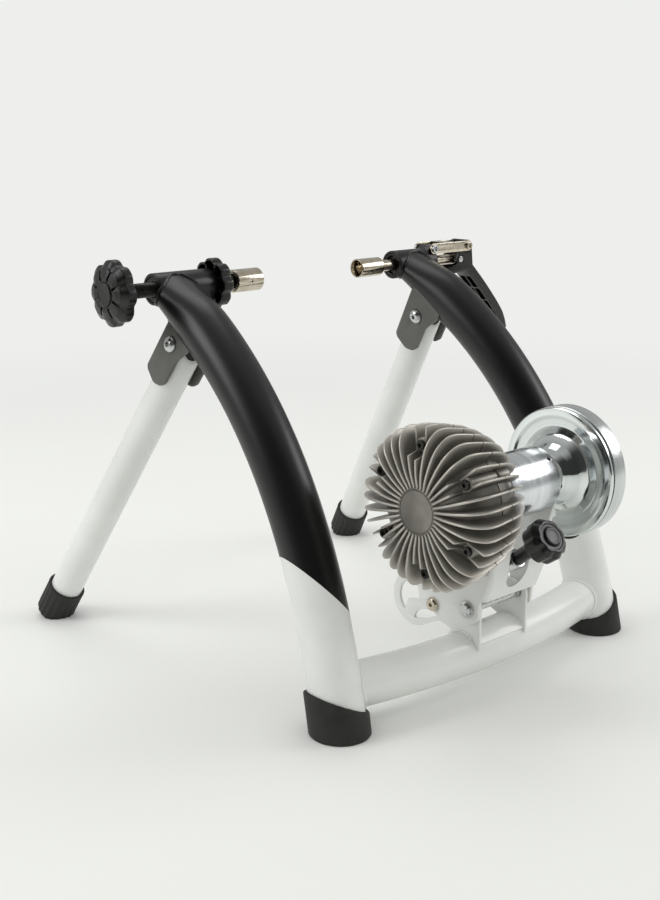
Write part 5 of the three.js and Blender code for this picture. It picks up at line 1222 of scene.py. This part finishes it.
def yokeHardware():
    for way, word in sideWords:
        ring = [(36.2, 5.3, 0.2), (36.2, 12, 0.3), (37.2, 12, 0.3), (37.2, 7, 0), (41.8, 7, 0.4),
                (41.8, 5.3, 0.2)]
        bush = turned(bmesh.new(), [(x * way, r, f) for x, r, f in ring], pivotAxis, 56, 3)
        finishPiece(f"yoke-bush-{word}", bush, "swing_yoke", "nylon")
        turn = trunnionAxis @ Matrix.Diagonal((-way, 1, 1, 1))
        bolt = bar(hexBar(bmesh.new(), 6.0, -43.8, -40.8, turn, 0.5), 3.0, -41.5, -23.8, turn, 24, 0.4)
        finishPiece(f"trunnion-bolt-{word}", bolt, "swing_yoke", "zinc_steel")
    flange = [(-42.1, 5, 0), (-42.1, 8.4, 0.4), (-43.3, 8.4, 0.5), (-43.3, 5, 0)]
    bolt = turned(bmesh.new(), flange, pivotAxis, 56, 3)
    bar(hexBar(bolt, 7.4, -46.1, -43.0, pivotAxis, 0.7), 5.0, -42.5, 51.1, pivotAxis, 48, 0.8)
    finishPiece("yoke-pivot-bolt", bolt, "frame", "zinc_steel")
    nut = hexBar(bmesh.new(), 8.5, 42.1, 49.1, pivotAxis, 0.7, unit["pivotHole"])
    finishPiece("yoke-pivot-nut", nut, "frame", "zinc_steel")
    dome = [(0, 6.7), (0.1, 7), (0.45, 6.9), (0.75, 6.4), (0.92, 5.6), (1, 4.6), (1, 2.6)]
    head = [(-36.1, 0)] + [(-36.2 - 4 * x, r) for x, r in dome]
    bolt = screwHead(bmesh.new(), head, -40.2, -37.8, 2.3, anchorAxis)
    finishPiece("tension-anchor-bolt", bar(bolt, 4.0, -36.6, 43.2, anchorAxis, 40, 0.6), "frame", "nickel")
    nut = hexBar(bmesh.new(), 7.0, 36.2, 42.2, anchorAxis, 0.6, unit["boltHole"])
    finishPiece("tension-anchor-nut", nut, "frame", "nickel")


bracketPiece()
yokePiece()
yokeHardware()
print("bracket and yoke made")

# Tension screw with its trunnion, washer and lobed knob

tension = {"reach": 86.2, "rod": 5.0, "rodEnd": 132.6, "pitch": 1.5, "neck": 7.2, "neckFrom": 96.5,
           "knobFrom": 123.4, "knobTo": 146.4, "knobRadius": 21.0, "washer": (94.5, 96.1), "lobes": 8,
           "lobeDepth": 0.1}
lineOut = (Vector((0, *unit["trunnion"])) - Vector((0, *unit["anchor"]))).normalized()
tensionAxis = Matrix((lineOut, (1, 0, 0), lineOut.cross(Vector((1, 0, 0))))).transposed().to_4x4()
tensionAxis.translation = Vector((unit["middle"], *unit["anchor"]))


def thread(bm, radius, pitch, depth, fromX, toX, place, sides=36):
    # a helical ridge that runs out into its core at both ends
    count = int((toX - fromX) / pitch * sides)
    strip = []
    for j in range(count + 1):
        angle = 2 * math.pi * j / sides
        row = []
        for m, tall in enumerate((0.0, 0.8, 1.0, 0.2, 0.0)):
            later = sides if m == 4 else 0
            fade = min(1, (j + later) / sides, (count - j - later) / sides)
            reach = radius - depth + depth * tall * max(fade, 0)
            x = fromX + (j / sides + m / 4) * pitch
            row.append(bm.verts.new(place @ Vector((x, reach * math.cos(angle), reach * math.sin(angle)))))
        strip.append(row)
    for first, second in zip(strip, strip[1:]):
        for m in range(4):
            bm.faces.new((first[m], second[m], second[m + 1], first[m + 1]))
    bar(bm, radius - depth + 0.02, fromX - 1, toX + pitch + 1, place, sides, 0.3)


def tensionPieces():
    reach = tension["reach"]
    barrel = bar(bmesh.new(), 9.0, -37.2, 37.2, trunnionAxis, 64, 0.8)
    barrel = cutAway(barrel, drill(5.9, reach - 30, reach + 30, tensionAxis, 40),
                     drill(18.0, reach + 8, reach + 30, tensionAxis, 40))
    finishPiece("tension-trunnion", softEdges(barrel, 0.3), "trunnion", "zinc_steel")

    bolt = sleeve(bmesh.new(), -32.6, 32.6, 4.3, 7, 0.3, 0.6, anchorAxis, 48)
    sleeve(bolt, -7, 7, 6, 11, 0, 1.2, anchorAxis, 48, 4)
    bar(bolt, tension["rod"], 8, 62, tensionAxis, 40, 0.3)
    thread(bolt, tension["rod"], tension["pitch"], 0.75, 61, tension["rodEnd"] - 3, tensionAxis)
    finishPiece("tension-bolt", bolt, "tension_rod", "black_steel")

    washer = sleeve(bmesh.new(), *tension["washer"], 5.4, 9.5, 0.2, 0.4, tensionAxis, 56)
    finishPiece("tension-washer", washer, "tension_slider", "zinc_steel")

    low, high, r = tension["knobFrom"], tension["knobTo"], tension["knobRadius"]
    neck, neckFrom, bore = tension["neck"], tension["neckFrom"], tension["rod"] + 0.4
    corners = [(low, neck, 1.0), (low, r * 0.82, 2.2), (low + 3.45, r * 0.96, 3), (high - 5.75, r, 3),
               (high, r * 0.8, 2.6), (high, 13.6, 0.8), (high - 0.8, 12.9, 0.5), (high - 0.8, 10.4, 0.5),
               (high - 0.3, 9.8, 0.3), (high - 2.2, 9.8, 0), (high - 2.2, bore, 0), (neckFrom, bore, 0.3),
               (neckFrom, neck, 0.6)]
    knob = lobed(bmesh.new(), corners, 5, tension["lobes"], tension["lobeDepth"], 12.0, tensionAxis, True)
    finishPiece("tension-knob", knob, "tension_grip", "black_plastic")
    corners = [(high - 1.5, 0, 0), (high - 1.5, 9.5, 0.2), (high + 1.1, 9.5, 1.4), (high + 1.5, 8.1, 0.3),
               (high + 1.5, 6.6, 0.3), (high + 1.1, 6.2, 0.3), (high + 1.1, 0, 0)]
    cap = turned(bmesh.new(), corners, tensionAxis, 72, closed=False)
    finishPiece("tension-knob-cap", cap, "tension_grip", "black_plastic")


tensionPieces()
print("tension screw made")

# Screw clamp on the left: housing, liner, screw with its cup and lobed knob, lock washer and lock knob

screwClamp = {
    "housing": (-193.4, -124.5), "outer": 16.0, "bore": 13.2, "liner": (-192.4, -125.5), "linerOuter": 12.9,
    "linerBore": 7.8, "screw": 7.5, "pitch": 2.0, "thread": (-225.5, -96.0), "knobFace": -249.5,
    "knobRadius": 32.5, "lobes": 8, "lobeDepth": 0.1, "slot": 2.6, "lockFrom": -122.3, "lockTo": -109.3,
    "lockRadius": 26.0, "lockLobeDepth": 0.12, "lockWall": 2.4,
    "cup": [(-79, 0, 0), (-79, 9.5, 1.2), (-60.6, 9.5, 0.4), (-59, 10.3, 0.3), (-59, 11.4, 0.3),
            (-59.8, 12, 0.5), (-92.2, 12, 0.5), (-93, 11.2, 0.5), (-93, 7.8, 0.3), (-84, 7.8, 0),
            (-84, 0, 0)],
}
# Equal turns about the axle, half a step round, where the lobed forms dip
ribPlaces = [axle @ Matrix.Rotation(2 * math.pi * (i + 0.5) / screwClamp["lobes"], 4, "X")
             for i in range(screwClamp["lobes"])]


def screwKnobPiece():
    form = screwClamp
    face, r, bore = form["knobFace"], form["knobRadius"], form["linerBore"]
    corners = [(face + 2.1, 0, 0), (face + 2.1, 12.1, 0.2), (face, 12.1, 0.4), (face, r * 0.55, 0.8),
               (face + 1.8, r * 0.78, 0.8), (face + 3.2, r * 0.83, 0.5), (face + 6.84, r, 1.6),
               (face + 15.84, r, 1.2), (face + 18, r * 0.9, 1.0), (face + 18, 25, 0.8),
               (face + 16, 23.5, 0.8), (face + 16, 15.5, 0.8), (face + 18, 13.4, 0.6),
               (face + 23, 13, 1.2), (face + 23, bore, 0.3),
               (face + 8.7, bore, 0), (face + 8.7, 0, 0)]
    knob = lobed(bmesh.new(), corners, 4, form["lobes"], form["lobeDepth"], 15.0, axle)
    slots = bmesh.new()
    for place in ribPlaces:
        block(slots, (face - 2, 13.6, -form["slot"] / 2), (face + 3, r - 3.4, form["slot"] / 2), place)
    finishPiece("screw-knob", softEdges(cutAway(knob, slots), 0.3, 50), "axle_screw", "black_plastic")
    corners = [(face + 1.8, 0, 0), (face + 1.8, 11.8, 0.2), (face - 1.2, 11.8, 0.9), (face - 1.2, 10.2, 0.3),
               (face - 0.7, 9.7, 0.3), (face - 0.7, 0, 0)]
    cap = turned(bmesh.new(), corners, axle, 72, closed=False)
    finishPiece("screw-knob-cap", cap, "axle_screw", "black_plastic")


def lockKnobPiece():
    form = screwClamp
    low, high, r, bore = form["lockFrom"], form["lockTo"], form["lockRadius"], form["linerBore"]
    hollow = r - form["lockWall"]
    corners = [(low, hollow, 0.5), (low, r, 0.8), (high - 3, r, 1.4), (high, r * 0.9, 1.2), (high, bore, 0.4),
               (low, bore, 0.4), (low, 12, 0.6), (high - 3, 12, 0.8), (high - 3, hollow, 1.0)]
    knob = lobed(bmesh.new(), corners, 4, form["lobes"], form["lockLobeDepth"], 13.0, axle, True)
    ribEnd = hollow * (1 - form["lockLobeDepth"]) + 0.6
    for place in ribPlaces:
        block(knob, (low + 1.2, 11, -0.8), (high - 2.4, ribEnd, 0.8), place)
    finishPiece("lock-knob", knob, "lock_ring", "black_plastic")


def screwClampPieces():
    form = screwClamp
    tube = sleeve(bmesh.new(), *form["housing"], form["bore"], form["outer"], 0.6, 0.9, axle, 96)
    finishPiece("screw-housing", tube, "frame", "satin_black")
    liner = sleeve(bmesh.new(), *form["liner"], form["linerBore"], form["linerOuter"], 0.8, 0.5, axle, 72)
    finishPiece("screw-liner", liner, "frame", "zinc_steel", blackSteel)

    low, high = form["thread"]
    screw = bar(bmesh.new(), form["screw"], -240.5, low - 0.6, axle, 48, 0.4)
    thread(screw, form["screw"], form["pitch"], 0.9, low, high, axle, 48)
    bar(screw, form["screw"] - 0.9, high, -84.3, axle, 48, 1.0)
    finishPiece("clamp-screw", screw, "axle_screw", "black_steel")

    spot = axle @ Matrix.Translation((-75.8, 0, 0)) @ Matrix.Rotation(-math.pi / 2, 4, "Z")
    cup = cutAway(turned(bmesh.new(), form["cup"], axle, 96, closed=False), drill(1.6, 5, 15, spot))
    finishPiece("screw-cup", softEdges(cup, 0.15, 60), "screw_cup_slide", "nickel")
    washer = sleeve(bmesh.new(), -124.2, -122.6, 7.8, 12.5, 0.2, 0.4, axle, 64)
    finishPiece("lock-washer", washer, "lock_carrier", "zinc_steel")


screwClampPieces()
screwKnobPiece()
lockKnobPiece()
print("screw clamp made")

# Lever clamp on the right: housing with its ear, liner, plunger and cup, ribbed lever, link and pins

leverClamp = {
    "housing": (142.3, 204.0), "outer": 16.0, "bore": 13.2, "pin": (248.0, 0.0), "pinHole": 3.3,
    "linkPin": (200.0, 15.5), "linkFar": (260.0, 15.5), "linkEnd": 6.0, "linkFrom": 11.3, "linkTo": 13.3,
    "half": 11.0, "wall": 2.2, "lug": 8.0, "reach": 86.0, "drop": 92.0, "depth": 5.75, "tip": 0.38,
    "tipReach": 2.9, "cells": 5, "cellFrom": 0.12, "cellTo": 0.93, "cellGap": 0.0068, "rib": 1.6, "fork": 6.7,
    "rod": 6.4, "tongue": 5.0, "earBend": 4.6, "linkHole": 2.8, "pinRadius": 3.0, "linkPinRadius": 2.5,
    "line": [(0.174, 0.098), (0.442, 0.337), (0.721, 0.609), (0.907, 0.815), (1.0, 1.0)],
    "heel": [(252, -14.7), (238.5, -16.5), (229, -15.5), (229, -11.8), (239.2, -7.2), (248, 0)],
    "liner": [(142.9, 10.9, 0.4), (142.9, 12.9, 0.4), (203, 12.9, 0.4), (203, 6.7, 0.4), (148.8, 6.7, 0.4),
              (148.8, 10.9, 0.6)],
    "cup": [(106, 0, 0), (106, 7.5, 1.0), (92.67, 7.5, 0.8), (86, 9.2, 0.3), (86, 10.1, 0.3),
            (86.4, 10.5, 0.3), (119.6, 10.5, 0.8), (122, 8.1, 0.5), (122, 6.7, 0.2), (113, 6.7, 0),
            (113, 0, 0)],
}
upright = axle @ Matrix.Rotation(math.pi / 2, 4, "X")
handleLine = through([Vector((leverClamp["pin"][0] + leverClamp["reach"] * a, -leverClamp["drop"] * b))
                      for a, b in leverClamp["line"]], 12)


def crossways(spot, side=1):
    # an axis across the stand through a point of the lever's plane
    return axle @ Matrix.Translation((spot[0], 0, spot[1])) @ Matrix.Rotation(side * math.pi / 2, 4, "Z")


def besideHandle(share, offset):
    # a point beside the lever's centre line; a positive offset is on its outer side
    place = share * (len(handleLine) - 1)
    i = min(int(place), len(handleLine) - 2)
    along = (handleLine[i + 1] - handleLine[i]).normalized()
    spot = handleLine[i].lerp(handleLine[i + 1], place - i)
    return spot + Vector((-along.y, along.x)) * offset


def handleHalf(share):
    return leverClamp["depth"] * (1 - leverClamp["tip"] * share ** 3)


def leverCells():
    # the hollows between the ribs, two rows of them beside the middle rib
    form = leverClamp
    step = (form["cellTo"] - form["cellFrom"]) / form["cells"]
    cells = bmesh.new()
    for k in range(form["cells"]):
        first = form["cellFrom"] + step * k + form["cellGap"]
        last = form["cellFrom"] + step * (k + 1) - form["cellGap"]
        between = [first + (last - first) * m / 4 for m in range(5)]
        loop = ([besideHandle(s, handleHalf(s) - form["wall"]) for s in between]
                + [besideHandle(s, -form["depth"] * 2) for s in reversed(between)])
        for low, high in ((form["wall"] - form["half"], -form["rib"] / 2),
                          (form["rib"] / 2, form["half"] - form["wall"])):
            flatPlate(cells, [loop], low, high, upright, 0.01)
    return cells


def leverPiece():
    form = leverClamp
    half, lug, pin = form["half"], form["lug"], form["pin"]
    shares = [k / 24 for k in range(25)]
    tip = handleLine[-1] + (handleLine[-1] - handleLine[-2]).normalized() * form["tipReach"]
    outline = ([besideHandle(s, handleHalf(s)) for s in shares] + [tip]
               + [besideHandle(s, -handleHalf(s)) for s in reversed(shares)] + form["heel"])
    top = besideHandle(0, handleHalf(0))
    x, farX, farZ = pin[0], form["linkFar"][0], form["linkFar"][1] - 1
    bridge = [(x - lug, 0), (x, -lug * 0.8), (top.x + 4, top.y - 6), (farX + lug, farZ), (farX - lug, farZ)]
    lever = flatPlate(bmesh.new(), [outline], -half, half, upright, 0.01)
    others = [flatPlate(bmesh.new(), [bridge], -half, half, upright, 0.01)]
    others += [bar(bmesh.new(), lug, -half, half, crossways(spot), 64, 0.01) for spot in (pin, (farX, farZ))]
    for other in others:
        lever = combine(lever, other, "UNION")
    fork = block(bmesh.new(), (x - 40, -form["fork"], -24), (x + lug + 1.2, form["fork"], farZ + 41), axle)
    lever = cutAway(lever, fork, drill(form["pinHole"], -15, 15, crossways(pin), 40), leverCells())
    finishPiece("clamp-lever", softEdges(lever, 0.45, 40), "lever", "black_plastic")
    bolt = bar(bmesh.new(), form["pinRadius"], -11.6, 11.6, crossways(pin), 40, 0.2)
    rivet = [(11.3, 0, 0), (11.3, 3.6, 0.2), (12.4, 3.6, 0.7), (12.4, 0, 0)]
    for side in (-1, 1):
        turned(bolt, rivet, crossways(pin, side), 48, closed=False)
    finishPiece("lever-pin", bolt, "lever", "zinc_steel")


def socketHead(bm, spot, side, low, high):
    profile = [(low, 0), (low, 4.6), (high - 0.6, 4.6), (high - 0.15, 4.3), (high, 3.9), (high, 2.9)]
    screwHead(bm, profile, high, low + 0.5, 2.5, crossways(spot, side))


def linkPieces():
    form = leverClamp
    near, far, end = form["linkPin"], form["linkFar"], form["linkEnd"]
    outline = [p[:2] for p in arc(near, end, 0.5, 1.5, 16) + arc(far, end, -0.5, 0.5, 16)]
    link = bmesh.new()
    for side in (-1, 1):
        low, high = sorted((side * form["linkFrom"], side * form["linkTo"]))
        flatPlate(link, [outline, circle(*near, 2.7)], low, high, upright)
        socketHead(link, far, side, form["linkTo"] - 0.2, form["linkTo"] + 2.2)
    block(link, (219.2, -12.3, 19.5), (236, 12.3, 21.4), axle)
    finishPiece("clamp-link", link, "link", "nickel")
    bolt = bar(bmesh.new(), form["linkPinRadius"], -14, 14, crossways(near), 32, 0.2)
    for side in (-1, 1):
        socketHead(bolt, near, side, 13.6, 15.8)
    finishPiece("link-pin", bolt, "link", "zinc_steel")


def leverHousingPiece():
    form = leverClamp
    low, high = form["housing"]
    x, z = form["linkPin"]
    half, bend = form["half"] - 1, form["earBend"]
    bm = sleeve(bmesh.new(), low, high, form["bore"], form["outer"], 0.6, 0.9, axle, 96)
    ear = [(187, 10.5), (204, 10.5), (204.6, 15.5)]
    ear += [(x + bend * math.cos(a), z + bend * math.sin(a))
            for a in (math.pi * 0.65 * k / 12 for k in range(1, 13))]
    plate = flatPlate(bmesh.new(), [ear], -half, half, upright, 0.01)
    plate = cutAway(plate, drill(form["bore"], low - 5, high + 5, axle, 96),
                    drill(form["linkHole"], -15, 15, crossways(form["linkPin"])))
    bm.from_mesh(softEdges(plate, 0.5, 40))
    finishPiece("lever-housing", bm, "frame", "satin_black")


def plungerPieces():
    form = leverClamp
    pin, rod = form["pin"], form["rod"]
    finishPiece("plunger-liner", turned(bmesh.new(), form["liner"], axle, 72, 3), "frame", "black_plastic")

    notch = block(bmesh.new(), (80, -15, -1.5), (89, -7.5, 1.5), axle)
    cup = cutAway(turned(bmesh.new(), form["cup"], axle, 96, closed=False), notch)
    finishPiece("lever-cup", softEdges(cup, 0.2, 60), "plunger", "nickel")

    tip = pin[0] + rod
    corners = [(113.3, 0, 0), (113.3, rod, 0.6), (tip - 3.2, rod, 0.4), (tip, rod / 2, 0.6), (tip, 0, 0)]
    flats = bmesh.new()
    for side in (-1, 1):
        low, high = sorted((side * form["tongue"], side * 12))
        block(flats, (pin[0] - 9, low, -12), (tip + 5, high, 12), axle)
    plunger = cutAway(turned(bmesh.new(), corners, axle, 72, 3, False), flats,
                      drill(form["pinHole"], -12, 12, crossways(pin)))
    finishPiece("plunger-rod", softEdges(plunger, 0.3, 50), "plunger", "nickel")


leverHousingPiece()
plungerPieces()
leverPiece()
linkPieces()
print("lever clamp made")

# Camera and stage

view = {"spot": (-945.33, -1081.03, 545.41), "heading": 0.7418, "pitch": 0.2471, "lens": 52.75}
stageLook = {
    "floor": linear(236, 236, 233), "backdrop": linear(238, 239, 237), "fadeFrom": 0.75, "fadeTo": 2.1,
    "lamps": [
        ("leftSoftbox", (-1.75, 1.0, 1.35), 1.05, 13.5),
        ("rightSoftbox", (1.75, -1.15, 1.35), 1.05, 12.5),
        ("topSoftbox", (0.35, 0.75, 2.2), 1.2, 7.5),
    ],
    "worldLight": 0.84, "shadeFrom": 0.2, "shadeTo": 0.7, "sideShade": 0.62, "frontShade": 0.05,
}


def makeCamera():
    data = bpy.data.cameras.new("photoCamera")
    data.lens = view["lens"]
    data.sensor_width = 36
    data.clip_start = 0.05
    camera = hold("photoCamera", data)
    camera.location = toFrame @ Vector(view["spot"])
    camera.rotation_euler = (math.pi / 2 - view["pitch"], 0, -view["heading"])
    scene.camera = camera


def makeFloor():
    # a pale floor that fades into the backdrop away from the stand
    bm = bmesh.new()
    bmesh.ops.create_grid(bm, x_segments=8, y_segments=8, size=12.0)
    mesh = bpy.data.meshes.new("floor")
    bm.to_mesh(mesh)
    bm.free()
    floor = hold("floor", mesh)
    material, tree, shader = startMaterial("paleFloor", roughness=0.7, specular=0.2)
    place = node(tree, "ShaderNodeTexCoord").outputs["Object"]
    grain = noise(tree, place, 3.0)
    feed(tree, shader["Base Color"], mixColours(tree, grain, stageLook["floor"], stageLook["backdrop"]))
    away = node(tree, "ShaderNodeVectorMath", {0: place}, operation="LENGTH")
    fade = span(tree, away.outputs["Value"], stageLook["fadeFrom"], stageLook["fadeTo"], 0.0, 1.0, True)
    ray = node(tree, "ShaderNodeLightPath")
    share = node(tree, "ShaderNodeMath", {0: fade, 1: ray.outputs["Is Camera Ray"]}, operation="MULTIPLY")
    glow = node(tree, "ShaderNodeEmission", {"Color": stageLook["backdrop"], "Strength": 1.0})
    mix = node(tree, "ShaderNodeMixShader", {0: share.outputs[0], 1: tree.nodes["Principled BSDF"].outputs[0],
                                             2: glow.outputs[0]})
    feed(tree, tree.nodes["Material Output"].inputs["Surface"], mix.outputs[0])
    mesh.materials.append(material)


def makeLight():
    for name, spot, size, power in stageLook["lamps"]:
        lamp = bpy.data.lights.new(name, "AREA")
        lamp.shape = "RECTANGLE"
        lamp.size = size
        lamp.size_y = size
        lamp.energy = power
        holder = hold(name, lamp)
        holder.location = spot
        holder.rotation_euler = (Vector((0, 0, 0.2)) - Vector(spot)).to_track_quat("-Z", "Y").to_euler()

    # The world is darker in mirrors towards the camera, which gives the blacks their dark middle band
    world = bpy.data.worlds.new("studio")
    scene.world = world
    world.use_nodes = True
    tree = world.node_tree
    tree.nodes.clear()
    place = node(tree, "ShaderNodeTexCoord")
    behind = Vector((math.sin(view["heading"]), math.cos(view["heading"]), 0)) * -1
    facing = node(tree, "ShaderNodeVectorMath", {0: place.outputs["Generated"], 1: behind},
                  operation="DOT_PRODUCT")
    shade = span(tree, facing.outputs["Value"], stageLook["shadeFrom"], stageLook["shadeTo"],
                 stageLook["sideShade"], stageLook["frontShade"], smooth=True)
    ray = node(tree, "ShaderNodeLightPath")
    mirrored = node(tree, "ShaderNodeMix", {0: ray.outputs["Is Glossy Ray"], 2: 1.0, 3: shade})
    soft = node(tree, "ShaderNodeMath", {0: mirrored.outputs[0], 1: stageLook["worldLight"]},
                operation="MULTIPLY")
    full = node(tree, "ShaderNodeMix", {0: ray.outputs["Is Camera Ray"], 2: soft.outputs[0], 3: 1.0})
    lit = node(tree, "ShaderNodeBackground", {"Color": stageLook["backdrop"], "Strength": full.outputs[0]})
    feed(tree, node(tree, "ShaderNodeOutputWorld").inputs["Surface"], lit.outputs[0])


makeCamera()
makeFloor()
makeLight()
print("camera and stage made")

# Finishes on the solids that stay

slotOf = {entry["node"]: entry["material_slot"] for entry in frame["record"]["subparts"]}
for name, held in frame["nodes"].items():
    held.data.materials.clear()
    held.data.materials.append(finishes[slotOf[name]])
